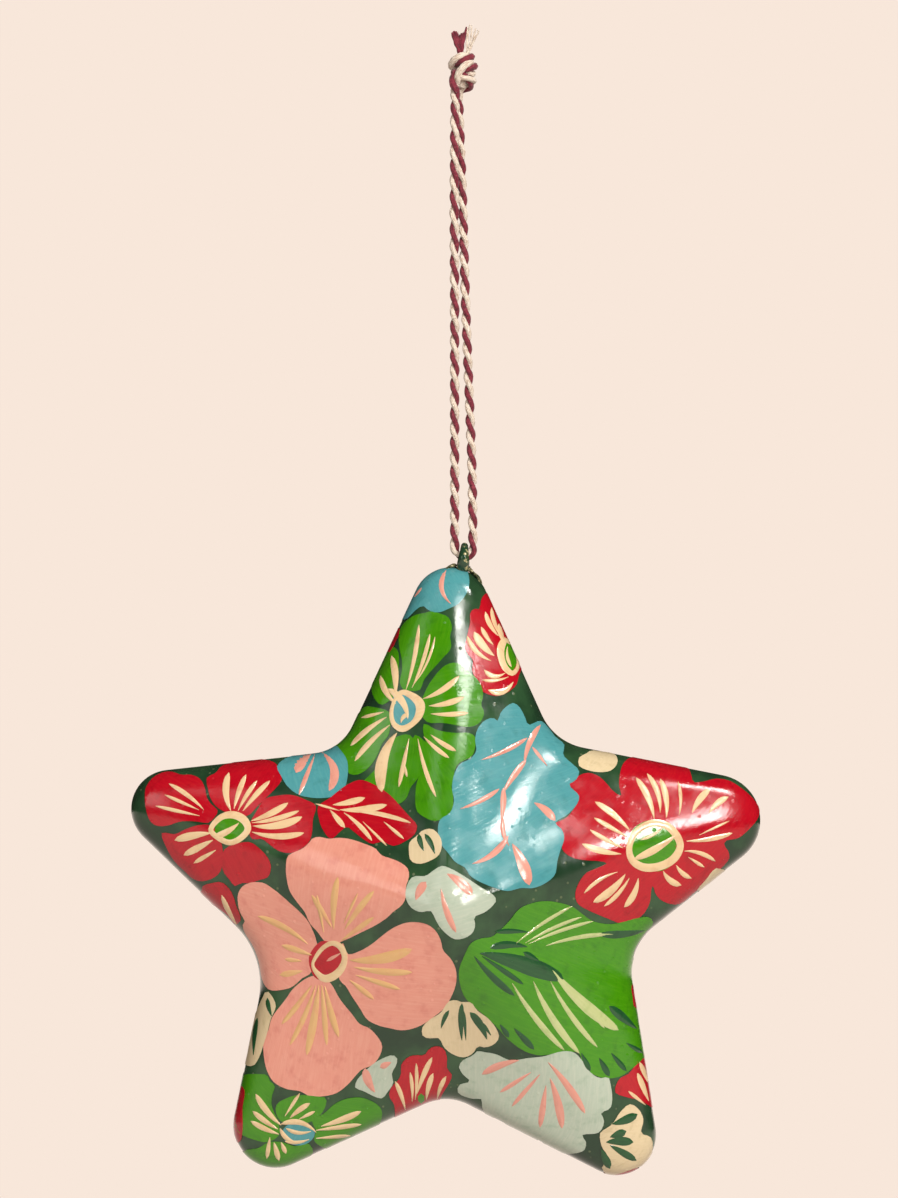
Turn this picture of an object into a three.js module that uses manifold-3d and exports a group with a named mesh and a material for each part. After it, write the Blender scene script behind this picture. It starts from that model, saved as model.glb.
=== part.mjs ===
// A painted papier-mache star that hangs from a doubled loop of two-ply cotton cord.
// Millimetres, +Z up, the front of the star faces -Y. The origin is the hanging point, between the
// two legs of the cord loop just under its knot. The star was moulded in two halves and glued round
// its edge. A wire eye stands out of its top arm, and the cord runs through that eye.

import * as THREE from "three";
import { mergeVertices } from "three/addons/utils/BufferGeometryUtils.js";
import Module from "manifold-3d";

const wasm = await Module();
wasm.setup();

// Clearances
const fitGap = 0.3; // between a piece and the neighbour that it is seated on
const strandGap = 0.1; // between the cord and the sides of the wire that it straddles

// Cord
const cordDiameter = 1.5;
const loopDrop = 72; // from the hanging point down to the middle of the wire at the top of the eye
const twistLevel = -36; // where the upper and lower lengths of the two legs meet
const cordSides = 8;
const cordStep = 4; // between sections along a leg

// Wire eye
const wireDiameter = 1.2;
const eyeRadius = 1.75; // of the wire's middle line, round the top of the eye
const eyeNeckDrop = 1.9; // from the middle of the eye down to where the wire's two legs run together
const legSpacing = 1.5; // between the middle lines of the wire's two legs
const wireSides = 10;
const wireSteps = 56;
const footSpare = 0.65; // kept free between a clinched end and the lining
const footBend = 1.2;

// Star body
const starOffset = -2.6; // from the eye across to the middle of the star
const eyeStand = 3.4; // from the middle of the wire at the top of the eye down to the tip of the star
const crown = 17.5; // height of each half at its middle
const rimShare = 0.42; // of the crown that is reached in the round of the rim
const rimDepth = 0.09; // how far in the round of the rim reaches, as a share of the deepest place
const armTaper = 0.645; // how much thinner the arms get towards a reach of armReach
const middleRound = 5; // how wide the middle stays before the arms get thinner
const grooveShare = 0.055; // depth of the soft grooves from the middle to the valleys
const grooveWidth = 5;
const grooveStart = [4, 13]; // reaches between which a groove sets in
const wall = 1.8;
const glueThickness = 0.3;
const shellRings = 8;
const liningRings = 4;
const slopeStep = 0.05; // to either side of a point where the surface's slope is taken
const arcStep = THREE.MathUtils.degToRad(12);
const sideStep = 4.5;

// Each arm ends in a round tip, and the arms meet in round valleys. Angles run anticlockwise from
// +X as the front is seen, reaches are from the middle of the star. The star is made by hand, so
// each tip and valley differs a little from the usual one.
const armReach = 52;
const tipRadius = 6.4;
const valleyReach = 31;
const valleyRadius = 9.4;
const tip = (angle, longer, rounder) => ({
  angle,
  reach: armReach + longer,
  round: tipRadius + rounder,
});
const valley = (angle, further, rounder) => ({
  angle,
  reach: valleyReach + further,
  round: valleyRadius + rounder,
});
const tips = [
  tip(16.6, -0.6, 0.8),
  tip(89.3, 0.6, -0.4),
  tip(161.8, 0.4, -0.3),
  tip(232.7, -0.5, 0.2),
  tip(305.7, 0.1, -0.1),
];
const valleys = [
  valley(54.8, 0.3, -0.2),
  valley(125.6, -0.9, -1.6),
  valley(197.4, 0.7, 3.7),
  valley(269.5, 0.5, -1.4),
  valley(343.3, -0.2, 0),
];
const topTip = tips[1];

// Plug, collar and hole round the eye's shank
const plugDepth = 10; // from the tip of the star down to the bottom of the plug
const shankHole = 3.3; // diameter
const collarRadius = 3.4;
const collarHeight = 0.65; // of the collar's top above the star

// Knot and cut ends
const knotBottom = 0.3;
const knotHeight = 6;
const knotWidth = 3.6;
const knotX = -0.2;
const wrapRadius = 0.75;
const endLength = 3.8;
const yarnRadius = 0.28;

// Derived places
const barZ = -loopDrop;
const eyeZ = barZ - eyeRadius;
const bightZ = barZ - wireDiameter / 2 - fitGap - cordDiameter / 2;
const legX = wireDiameter / 2 + strandGap + cordDiameter / 2;
const starMiddle = new THREE.Vector2(starOffset, barZ - eyeStand - topTip.reach);
const tipZ = barZ - eyeStand;
const plugZ = tipZ - plugDepth;
const footZ = plugZ - fitGap - wireDiameter / 2;
const swayRadius = cordDiameter + legX + 1; // of the round joint face between bight and legs

const materials = {
  lacquer: new THREE.MeshStandardMaterial({ color: 0x24432d, roughness: 0.2 }),
  glue: new THREE.MeshStandardMaterial({ color: 0x8d8252, roughness: 0.35 }),
  pulp: new THREE.MeshStandardMaterial({ color: 0xb9ad98, roughness: 0.9 }),
  wire: new THREE.MeshStandardMaterial({ color: 0x2a4a33, roughness: 0.3, metalness: 0.3 }),
  cordCream: new THREE.MeshStandardMaterial({ color: 0xe4d3bd, roughness: 0.9 }),
  cordRed: new THREE.MeshStandardMaterial({ color: 0x7d1f33, roughness: 0.9 }),
};

const star = new THREE.Group();

function addPiece(name, geometry, material) {
  const mesh = new THREE.Mesh(geometry, material);
  mesh.name = name;
  star.add(mesh);
}

// Booleans
function toSolid(geometry) {
  const bare = geometry.clone();
  bare.deleteAttribute("normal");
  bare.deleteAttribute("uv");
  const merged = mergeVertices(bare, 1e-4);
  return new wasm.Manifold(
    new wasm.Mesh({
      numProp: 3,
      vertProperties: new Float32Array(merged.attributes.position.array),
      triVerts: new Uint32Array(merged.index.array),
    }),
  );
}

function toGeometry(solid) {
  const mesh = solid.getMesh();
  const geometry = new THREE.BufferGeometry();
  geometry.setAttribute("position", new THREE.BufferAttribute(mesh.vertProperties, 3));
  geometry.setIndex(new THREE.BufferAttribute(mesh.triVerts, 1));
  return geometry;
}

// A surface through rings of points. A ring of one point closes an end, and a looped surface
// joins its last ring to its first.
function surfaceThrough(rings, looped = false) {
  const positions = [];
  const starts = rings.map((ring) => {
    const start = positions.length / 3;
    ring.forEach((p) => positions.push(p.x, p.y, p.z));
    return start;
  });
  const faces = [];
  const spans = looped ? rings.length : rings.length - 1;
  for (let i = 0; i < spans; i++) {
    const j = (i + 1) % rings.length;
    const count = Math.max(rings[i].length, rings[j].length);
    for (let k = 0; k < count; k++) {
      const next = (k + 1) % count;
      const a = starts[i] + (rings[i].length > 1 ? k : 0);
      const b = starts[i] + (rings[i].length > 1 ? next : 0);
      const c = starts[j] + (rings[j].length > 1 ? next : 0);
      const d = starts[j] + (rings[j].length > 1 ? k : 0);
      if (a !== b) faces.push(a, c, b);
      if (c !== d) faces.push(a, d, c);
    }
  }
  const geometry = new THREE.BufferGeometry();
  geometry.setAttribute("position", new THREE.Float32BufferAttribute(positions, 3));
  geometry.setIndex(faces);
  return geometry;
}

// The star's outline
function corner({ angle, reach, round }, outwards) {
  const turn = THREE.MathUtils.degToRad(angle);
  const distance = reach - outwards * round;
  return {
    centre: new THREE.Vector2(Math.cos(turn), Math.sin(turn)).multiplyScalar(distance).add(starMiddle),
    round,
    outwards,
  };
}

// Tip and valley circles in turn, each grown or shrunk so that the whole outline moves out by grow.
function cornerCircles(grow) {
  return tips.flatMap((end, i) => [corner(end, 1), corner(valleys[i], -1)]).map((c) => ({
    ...c,
    round: c.round + c.outwards * grow,
  }));
}

// The straight side from one circle to the next touches both and passes between them.
function sideBetween(from, to) {
  const across = to.centre.clone().sub(from.centre);
  const lean = Math.asin((from.round + to.round) / across.length()) * from.outwards;
  const along = across.clone().normalize().rotateAround(new THREE.Vector2(), lean);
  const left = new THREE.Vector2(-along.y, along.x).multiplyScalar(from.outwards);
  return {
    start: from.centre.clone().addScaledVector(left, -from.round),
    end: to.centre.clone().addScaledVector(left, to.round),
  };
}

function outlineCurves(grow) {
  const circles = cornerCircles(grow);
  const sides = circles.map((c, i) => sideBetween(c, circles[(i + 1) % circles.length]));
  return circles.flatMap((c, i) => {
    const from = sides[(i + sides.length - 1) % sides.length].end.clone().sub(c.centre).angle();
    const to = sides[i].start.clone().sub(c.centre).angle();
    const clockwise = c.outwards < 0;
    return [
      new THREE.EllipseCurve(c.centre.x, c.centre.y, c.round, c.round, from, to, clockwise),
      new THREE.LineCurve(sides[i].start, sides[i].end),
    ];
  });
}

const spansPerCurve = outlineCurves(0).map((curve) => {
  const step = curve.isEllipseCurve ? arcStep * curve.xRadius : sideStep;
  return Math.ceil(curve.getLength() / step);
});

function outlinePoints(grow) {
  return outlineCurves(grow).flatMap((curve, i) => curve.getSpacedPoints(spansPerCurve[i]).slice(0, -1));
}

// How deep a point lies inside the outline, eased so that the ridges along the arms come out soft.
// Each straight span adds the integral of 1 / distance^6 along it, and a single endless edge would
// give exactly its distance.
function easedDepth(point, outline) {
  let sum = 0;
  outline.forEach((a, i) => {
    const b = outline[(i + 1) % outline.length];
    const length = a.distanceTo(b);
    const ux = (b.x - a.x) / length;
    const uy = (b.y - a.y) / length;
    const along = (point.x - a.x) * ux + (point.y - a.y) * uy;
    const away = Math.max(Math.abs((point.x - a.x) * uy - (point.y - a.y) * ux), 0.03);
    const angle = Math.atan2(away * length, away ** 2 - along * (length - along));
    const share = (s) => (s * (5 * away ** 2 + 3 * s ** 2)) / (8 * away ** 4 * (away ** 2 + s ** 2) ** 2);
    sum += share(length - along) + share(along) + (3 * angle) / (8 * away ** 5);
  });
  return (sum / ((3 * Math.PI) / 8)) ** (-1 / 5);
}

// How much of a groove lies at a point, from 0 to 1.
function grooveAt(point) {
  const gap = point.clone().sub(starMiddle);
  const started = THREE.MathUtils.smoothstep(gap.length(), ...grooveStart);
  const shares = valleys.map(({ angle }) => {
    const turn = THREE.MathUtils.degToRad(angle);
    const line = new THREE.Vector2(Math.cos(turn), Math.sin(turn));
    return gap.dot(line) > 0 ? Math.exp(-((gap.cross(line) / grooveWidth) ** 2)) : 0;
  });
  return started * Math.max(...shares);
}

// How high each half stands over a point of the plan.
function makeHeight() {
  const outline = outlinePoints(0);
  const deepest = easedDepth(starMiddle, outline);
  return (point) => {
    const share = easedDepth(point, outline) / deepest;
    const rim = rimShare * Math.sqrt(1 - Math.exp((-2 * share) / rimDepth));
    const reach = Math.hypot(point.distanceTo(starMiddle), middleRound) - middleRound;
    const thinner = 1 - (armTaper * reach) / armReach;
    return crown * (rim + (1 - rimShare) * share) * (thinner - grooveShare * grooveAt(point));
  };
}

const heightAt = makeHeight();

// The point of a half over a point of the plan, moved out by grow square to the surface.
function surfacePoint(point, grow) {
  const slope = (dx, dy) => {
    const ahead = new THREE.Vector2(point.x + dx, point.y + dy);
    const behind = new THREE.Vector2(point.x - dx, point.y - dy);
    return (heightAt(ahead) - heightAt(behind)) / (2 * slopeStep);
  };
  const slopeX = slope(slopeStep, 0);
  const slopeY = slope(0, slopeStep);
  const lift = grow / Math.hypot(slopeX, slopeY, 1);
  return new THREE.Vector3(point.x - lift * slopeX, heightAt(point) + lift, point.y - lift * slopeY);
}

// One half of a star-shaped body, as rings from its middle out to its edge. grow moves the whole
// surface out and keeps it that far from the star's own, base is the height that the edge lies at.
function halfRings(grow, ringCount, base) {
  const outline = outlinePoints(0);
  const lifted = (p) => surfacePoint(p, grow).add(new THREE.Vector3(0, base, 0));
  const rings = [[lifted(starMiddle)]];
  for (let i = 1; i < ringCount; i++) {
    const reach = Math.sin((i / ringCount) * (Math.PI / 2));
    rings.push(outline.map((edge) => lifted(starMiddle.clone().lerp(edge, reach))));
  }
  rings.push(outlinePoints(grow).map((edge) => new THREE.Vector3(edge.x, base, edge.y)));
  return rings;
}

const toFront = (ring) => ring.map((p) => new THREE.Vector3(p.x, -p.y, p.z));

// A whole star-shaped body, both halves closed on each other.
function wholeBody(grow, ringCount) {
  const back = halfRings(grow, ringCount, glueThickness / 2);
  const front = back.map(toFront);
  return surfaceThrough([...front, ...back.reverse()]);
}

function shankCutter() {
  const depth = plugDepth * 2;
  const cutter = new THREE.CylinderGeometry(shankHole / 2, shankHole / 2, depth, 16);
  return toSolid(cutter.rotateX(Math.PI / 2).translate(0, 0, tipZ));
}

function makeShell(isFront) {
  const outside = halfRings(0, shellRings, glueThickness / 2);
  const inside = halfRings(-wall, liningRings, glueThickness / 2);
  const rings = [...outside, ...inside.reverse()];
  const bowl = isFront ? surfaceThrough(rings.map(toFront)) : surfaceThrough(rings.reverse());
  return toGeometry(toSolid(bowl).subtract(shankCutter()));
}

// The glue fills the joint between the two rims.
function makeSeamGlue() {
  const level = (outline, y) => outline.map((p) => new THREE.Vector3(p.x, y, p.y));
  const outer = outlinePoints(0);
  const inner = outlinePoints(-wall);
  const half = glueThickness / 2;
  const band = surfaceThrough(
    [level(outer, -half), level(outer, half), level(inner, half), level(inner, -half)],
    true,
  );
  return toGeometry(toSolid(band).subtract(shankCutter()));
}

// Wire and cord
const curveThrough = (points) => new THREE.CatmullRomCurve3(points, false, "centripetal");

function tubeAlong(curve, radius, sides, steps) {
  const section = new THREE.Shape(
    Array.from({ length: sides }, (_, i) => {
      const turn = ((i + 0.5) / sides) * Math.PI * 2;
      return new THREE.Vector2(Math.cos(turn), Math.sin(turn)).multiplyScalar(radius);
    }),
  );
  return new THREE.ExtrudeGeometry(section, { steps, bevelEnabled: false, extrudePath: curve });
}

// Half of the wire's middle line, from the top of the eye down to one clinched end. That end turns
// out under the plug as far as the lining leaves room for it.
function wireHalf(side) {
  const half = legSpacing / 2;
  const lining = surfacePoint(new THREE.Vector2(0, footZ + wireDiameter / 2), -wall);
  const end = lining.y + glueThickness / 2 - footSpare;
  const points = [];
  for (let turn = 0; turn <= 130; turn += 26) {
    const t = THREE.MathUtils.degToRad(turn);
    points.push(new THREE.Vector3(0, side * eyeRadius * Math.sin(t), eyeZ + eyeRadius * Math.cos(t)));
  }
  points.push(new THREE.Vector3(0, side * half, eyeZ - eyeNeckDrop));
  points.push(new THREE.Vector3(0, side * half, (eyeZ + footZ) / 2));
  points.push(new THREE.Vector3(0, side * half, footZ + footBend));
  points.push(new THREE.Vector3(0, side * (half + footBend * 0.3), footZ + footBend * 0.3));
  points.push(new THREE.Vector3(0, side * (half + footBend), footZ));
  points.push(new THREE.Vector3(0, side * end, footZ));
  return points;
}

function makeWire() {
  const line = [...wireHalf(-1).reverse(), ...wireHalf(1).slice(1)];
  return tubeAlong(curveThrough(line), wireDiameter / 2, wireSides, wireSteps);
}

// The space that is kept free for the wire. Its two halves run into each other along the legs, so
// they are made one by one and joined.
function wireSpace() {
  const radius = wireDiameter / 2 + fitGap;
  const half = (side) =>
    toSolid(tubeAlong(curveThrough(wireHalf(side)), radius, wireSides, wireSteps / 2));
  return half(-1).add(half(1));
}

function makePlug() {
  const cavity = toSolid(wholeBody(-wall - fitGap, liningRings));
  const width = 4 * topTip.round;
  const slab = new THREE.BoxGeometry(2 * width, 2 * crown, plugDepth);
  slab.translate(0, 0, plugZ + plugDepth / 2);
  return toGeometry(cavity.intersect(toSolid(slab)).subtract(wireSpace()));
}

// The bead of glue round the foot of the eye lies on the star like a second skin.
function makeCollar() {
  const depth = topTip.round;
  const core = new THREE.CylinderGeometry(collarRadius, collarRadius, 2 * depth, 20);
  const patch = toSolid(core.rotateX(Math.PI / 2).translate(0, 0, tipZ + collarHeight));
  const skin = toSolid(wholeBody(collarHeight, shellRings));
  const body = toSolid(wholeBody(fitGap, shellRings));
  return toGeometry(patch.intersect(skin).subtract(body).subtract(wireSpace()));
}

// Cord routes. The left leg hangs straight. The right leg leans in as it rises and tucks in behind
// the left one under the knot.
const leftRoute = [
  [-legX, 0, bightZ + legX],
  [-legX, 0, -60],
  [-legX, 0, -48],
  [-legX, -0.1, -34],
  [-1.5, -0.45, -17],
  [-1.4, -0.75, -3],
  [-1.35, -0.8, 0],
];
const rightRoute = [
  [legX, 0, bightZ + legX],
  [1.3, 0, -60],
  [0.85, 0.1, -48],
  [0.3, 0.35, -34],
  [-0.2, 0.8, -17],
  [-0.75, 0.95, -3],
  [-0.85, 0.95, 0],
];

function legPoints(route) {
  return curveThrough(route.map((p) => new THREE.Vector3(...p))).getSpacedPoints(200);
}

function legTube(route, low, high) {
  const points = legPoints(route).filter((p) => p.z >= low && p.z <= high);
  const kept = points.filter((_, i) => i % 8 === 0);
  kept[kept.length - 1] = points[points.length - 1];
  const curve = curveThrough(kept);
  return tubeAlong(curve, cordDiameter / 2, cordSides, Math.ceil(curve.getLength() / cordStep));
}

// The face between the bight and the legs is round about the wire at the top of the eye.
function swayCylinder(radius) {
  const cylinder = new THREE.CylinderGeometry(radius, radius, cordDiameter * 3, 32);
  return toSolid(cylinder.translate(0, 0, barZ));
}

function makeLowerLeg(route) {
  const tube = toSolid(legTube(route, bightZ + legX, twistLevel - fitGap / 2));
  return toGeometry(tube.subtract(swayCylinder(swayRadius + fitGap / 2)));
}

function makeBight() {
  const points = [new THREE.Vector3(-legX, 0, barZ + swayRadius)];
  for (let turn = -90; turn <= 90; turn += 22.5) {
    const t = THREE.MathUtils.degToRad(turn);
    points.push(new THREE.Vector3(legX * Math.sin(t), 0, bightZ + legX - legX * Math.cos(t)));
  }
  points.push(new THREE.Vector3(legX, 0, barZ + swayRadius));
  const tube = toSolid(tubeAlong(curveThrough(points), cordDiameter / 2, cordSides, 24));
  return toGeometry(tube.intersect(swayCylinder(swayRadius - fitGap / 2)));
}

// An overhand knot drawn tight: a barrel of cord with two wraps round it and one crossing band.
function makeKnot() {
  const middleZ = knotBottom + knotHeight / 2;
  const barrel = new THREE.SphereGeometry(knotWidth / 2, 14, 10).scale(1, 1, knotHeight / knotWidth);
  const wrap = (height, tiltX, tiltY, ring) =>
    toSolid(
      new THREE.TorusGeometry(ring, wrapRadius, 8, 18).rotateX(tiltX).rotateY(tiltY).translate(0, 0, height),
    );
  const wrapRing = knotWidth / 2 - wrapRadius * 0.7;
  const knot = toSolid(barrel)
    .add(wrap(knotHeight * 0.22, 0.25, 0.2, wrapRing * 0.95))
    .add(wrap(knotHeight * 0.02, -0.15, 0.35, wrapRing))
    .add(wrap(-knotHeight * 0.2, 0.2, -0.5, wrapRing));
  const solid = knot.translate([knotX, 0, middleZ]);
  const slab = new THREE.BoxGeometry(4 * knotWidth, 4 * knotWidth, knotHeight);
  return toGeometry(solid.intersect(toSolid(slab.translate(knotX, 0, middleZ))));
}

// A cut end of the cord: yarns that fan out from a short root.
function makeCutEnd(rootX, leans) {
  const rootZ = knotBottom + knotHeight + fitGap;
  const root = new THREE.SphereGeometry(yarnRadius * 1.8, 10, 8);
  let solid = toSolid(root.translate(rootX, 0, rootZ + yarnRadius * 1.8));
  leans.forEach(([leanX, leanY, share]) => {
    const length = endLength * share;
    const yarn = new THREE.CylinderGeometry(yarnRadius, yarnRadius * 1.2, length, 7);
    yarn.rotateX(Math.PI / 2).translate(0, 0, length / 2);
    yarn.rotateY(leanX).rotateX(leanY).translate(rootX, 0, rootZ + yarnRadius);
    solid = solid.add(toSolid(yarn));
  });
  return toGeometry(solid);
}

addPiece("front_shell", makeShell(true), materials.lacquer);
addPiece("back_shell", makeShell(false), materials.lacquer);
addPiece("seam_glue", makeSeamGlue(), materials.glue);
addPiece("hanging_eye", makeWire(), materials.wire);
addPiece("anchor_plug", makePlug(), materials.pulp);
addPiece("glue_collar", makeCollar(), materials.glue);
addPiece("cord_bight", makeBight(), materials.cordCream);
addPiece("cord_left_lower", makeLowerLeg(leftRoute), materials.cordRed);
addPiece("cord_right_lower", makeLowerLeg(rightRoute), materials.cordRed);
addPiece("cord_left_upper", legTube(leftRoute, twistLevel + fitGap / 2, 0), materials.cordCream);
addPiece("cord_right_upper", legTube(rightRoute, twistLevel + fitGap / 2, 0), materials.cordCream);
addPiece("cord_knot", makeKnot(), materials.cordCream);
addPiece(
  "cut_end_red",
  makeCutEnd(knotX - 0.7, [
    [-0.4, 0, 0.9],
    [-0.22, 0.1, 0.85],
    [-0.05, -0.1, 0.8],
  ]),
  materials.cordRed,
);
addPiece(
  "cut_end_cream",
  makeCutEnd(knotX + 0.75, [
    [0.02, 0.1, 1.1],
    [0.25, -0.1, 1.05],
    [0.5, 0.05, 0.9],
  ]),
  materials.cordCream,
);

export default star;
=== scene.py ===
"""A painted papier-mache star hung from a doubled loop of two-ply cotton cord.

Metres, +Z up, the front of the star faces -Y. Sizes in millimetres are multiplied by MM.
The flowers are drawn in pixels of the 898 x 1198 photograph and laid on the star's surface.
"""

import bmesh
import bpy
import math
import numpy as np
import random
from mathutils import Matrix, Vector


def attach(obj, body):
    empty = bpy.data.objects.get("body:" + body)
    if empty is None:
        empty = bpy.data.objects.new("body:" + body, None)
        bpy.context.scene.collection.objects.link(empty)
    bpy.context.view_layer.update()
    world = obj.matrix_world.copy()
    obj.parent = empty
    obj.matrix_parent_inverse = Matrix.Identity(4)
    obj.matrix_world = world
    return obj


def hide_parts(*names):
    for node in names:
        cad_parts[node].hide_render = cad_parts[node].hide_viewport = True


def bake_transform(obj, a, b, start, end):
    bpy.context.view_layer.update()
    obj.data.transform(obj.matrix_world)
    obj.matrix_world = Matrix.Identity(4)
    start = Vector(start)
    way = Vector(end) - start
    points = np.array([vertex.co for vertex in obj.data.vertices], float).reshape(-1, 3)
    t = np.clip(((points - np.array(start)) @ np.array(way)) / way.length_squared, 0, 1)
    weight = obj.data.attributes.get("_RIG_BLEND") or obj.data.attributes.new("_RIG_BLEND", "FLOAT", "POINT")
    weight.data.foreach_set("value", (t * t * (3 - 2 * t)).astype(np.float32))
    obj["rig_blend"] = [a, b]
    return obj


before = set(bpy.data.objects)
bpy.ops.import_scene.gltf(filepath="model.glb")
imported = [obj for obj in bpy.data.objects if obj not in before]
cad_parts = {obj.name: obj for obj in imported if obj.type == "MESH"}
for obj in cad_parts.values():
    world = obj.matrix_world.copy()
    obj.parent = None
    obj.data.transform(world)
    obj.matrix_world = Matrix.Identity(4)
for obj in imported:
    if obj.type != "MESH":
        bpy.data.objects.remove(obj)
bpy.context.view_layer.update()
scene = bpy.context.scene
MM = 0.001

# Photograph to part
PIXEL = 0.15848  # millimetres to a pixel in the plane of the star's rim
LOOP_AT = (463.8, 92)  # the pixel of the hanging point
CAMERA_AT = (-2.35, -527.4, -80.35)


def from_photo(px, py):
    """Where a pixel falls in the plane y = 0, in millimetres."""
    return (px - LOOP_AT[0]) * PIXEL, (LOOP_AT[1] - py) * PIXEL


# Camera
camera = bpy.data.objects.new("camera", bpy.data.cameras.new("camera"))
camera.data.lens = 100
camera.data.sensor_width = 36
camera.data.clip_start = 0.01
camera.data.clip_end = 50
camera.data.dof.use_dof = False
camera.location = Vector(CAMERA_AT) * MM
camera.rotation_euler = (math.radians(90), 0, 0)
scene.collection.objects.link(camera)
scene.camera = camera
scene.view_settings.view_transform = "Standard"


def finished(name, bm, materials):
    """Turns a bmesh in millimetres into a piece that stands at the origin."""
    bmesh.ops.scale(bm, vec=(MM, MM, MM), verts=bm.verts)
    mesh = bpy.data.meshes.new(name)
    bm.to_mesh(mesh)
    bm.free()
    for material in materials:
        mesh.materials.append(material)
    mesh.shade_smooth()
    piece = bpy.data.objects.new(name, mesh)
    scene.collection.objects.link(piece)
    return piece


# Node helpers
def new_group(name, inputs, outputs):
    """A node group with the given inputs (title, kind, value) and outputs (title, kind)."""
    group = bpy.data.node_groups.new(name, "ShaderNodeTree")
    for title, kind, value in inputs:
        socket = group.interface.new_socket(name=title, in_out="INPUT", socket_type=kind)
        if value is not None:
            socket.default_value = value
    for title, kind in outputs:
        group.interface.new_socket(name=title, in_out="OUTPUT", socket_type=kind)
    return group, Nodes(group)


class Nodes:
    """Adds nodes to a tree and joins them in one call."""

    def __init__(self, tree):
        self.tree = tree

    def add(self, kind, values=None, joins=None, **settings):
        node = self.tree.nodes.new(kind)
        for key, value in settings.items():
            setattr(node, key, value)
        for key, value in (values or {}).items():
            node.inputs[key].default_value = value
        for key, source in (joins or {}).items():
            self.tree.links.new(source, node.inputs[key])
        return node

    def put(self, socket, value):
        """Joins another node's output to the socket, or sets a plain value on it."""
        if isinstance(value, bpy.types.NodeSocket):
            self.tree.links.new(value, socket)
        else:
            socket.default_value = value

    def math(self, operation, a, b):
        node = self.tree.nodes.new("ShaderNodeMath")
        node.operation = operation
        self.put(node.inputs[0], a)
        self.put(node.inputs[1], b)
        return node.outputs[0]

    def ramp(self, source, low, high, to_low=0.0, to_high=1.0):
        """Eases from one value to another while the source goes from low to high."""
        node = self.tree.nodes.new("ShaderNodeMapRange")
        node.interpolation_type = "SMOOTHSTEP"
        self.tree.links.new(source, node.inputs["Value"])
        spans = {"From Min": low, "From Max": high, "To Min": to_low, "To Max": to_high}
        for title, value in spans.items():
            node.inputs[title].default_value = value
        return node.outputs["Result"]

    def mix(self, factor, a, b):
        node = self.tree.nodes.new("ShaderNodeMix")
        node.data_type = "RGBA"
        for slot, value in ((0, factor), (6, a), (7, b)):
            self.put(node.inputs[slot], value)
        return node.outputs[2]


def linear(red, green, blue):
    """A colour on the 0 to 255 scale as the shader's linear values."""
    parts = [c / 255 for c in (red, green, blue)]
    return [c / 12.92 if c <= 0.04045 else ((c + 0.055) / 1.055) ** 2.4 for c in parts] + [1]


def painted(colour, share=0.87):
    """The paint's own colour, a little darker than it looks under the studio light."""
    return [c * share for c in linear(*colour)[:3]] + [1]


# Shared effects
LACQUER_IOR = 1.5


def make_lacquer_film():
    """Brushed lacquer: long ripples, fine orange peel and dust caught in the last coat."""
    group, n = new_group(
        "lacquer_film",
        [("Vector", "NodeSocketVector", None), ("Dust", "NodeSocketFloat", 1.0)],
        [("Height", "NodeSocketFloat"), ("Roughness", "NodeSocketFloat"), ("Dust", "NodeSocketFloat")],
    )
    start = n.add("NodeGroupInput")
    vector = start.outputs["Vector"]
    ripple = n.add("ShaderNodeTexNoise", {"Scale": 120, "Detail": 1, "Roughness": 0.4}, {"Vector": vector})
    peel = n.add("ShaderNodeTexNoise", {"Scale": 900, "Detail": 3, "Roughness": 0.55}, {"Vector": vector})
    dots = n.add("ShaderNodeTexVoronoi", {"Scale": 620, "Randomness": 1}, {"Vector": vector})
    patches = n.add("ShaderNodeTexNoise", {"Scale": 300, "Detail": 2}, {"Vector": vector})
    kept = n.math("GREATER_THAN", dots.outputs["Color"], 0.4)
    speck = n.ramp(dots.outputs["Distance"], 0.06, 0.2, 1, 0)
    dust = n.math("MULTIPLY", n.math("MULTIPLY", speck, kept), start.outputs["Dust"])
    height = n.math("MULTIPLY", n.math("SUBTRACT", ripple.outputs["Fac"], 0.5), 0.05)
    grain = n.add("ShaderNodeTexNoise", {"Scale": 2300, "Detail": 2, "Roughness": 0.6}, {"Vector": vector})
    height = n.math("ADD", height, n.math("MULTIPLY", peel.outputs["Fac"], 0.009))
    height = n.math("ADD", height, n.math("MULTIPLY", grain.outputs["Fac"], 0.0075))
    height = n.math("ADD", height, n.math("MULTIPLY", dust, 0.028))
    rough = n.ramp(patches.outputs["Fac"], 0.35, 0.7, 0.1, 0.2)
    rough = n.math("ADD", rough, n.math("MULTIPLY", dust, 0.25))
    n.add("NodeGroupOutput", joins={"Height": height, "Roughness": rough, "Dust": dust})
    return group


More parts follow.
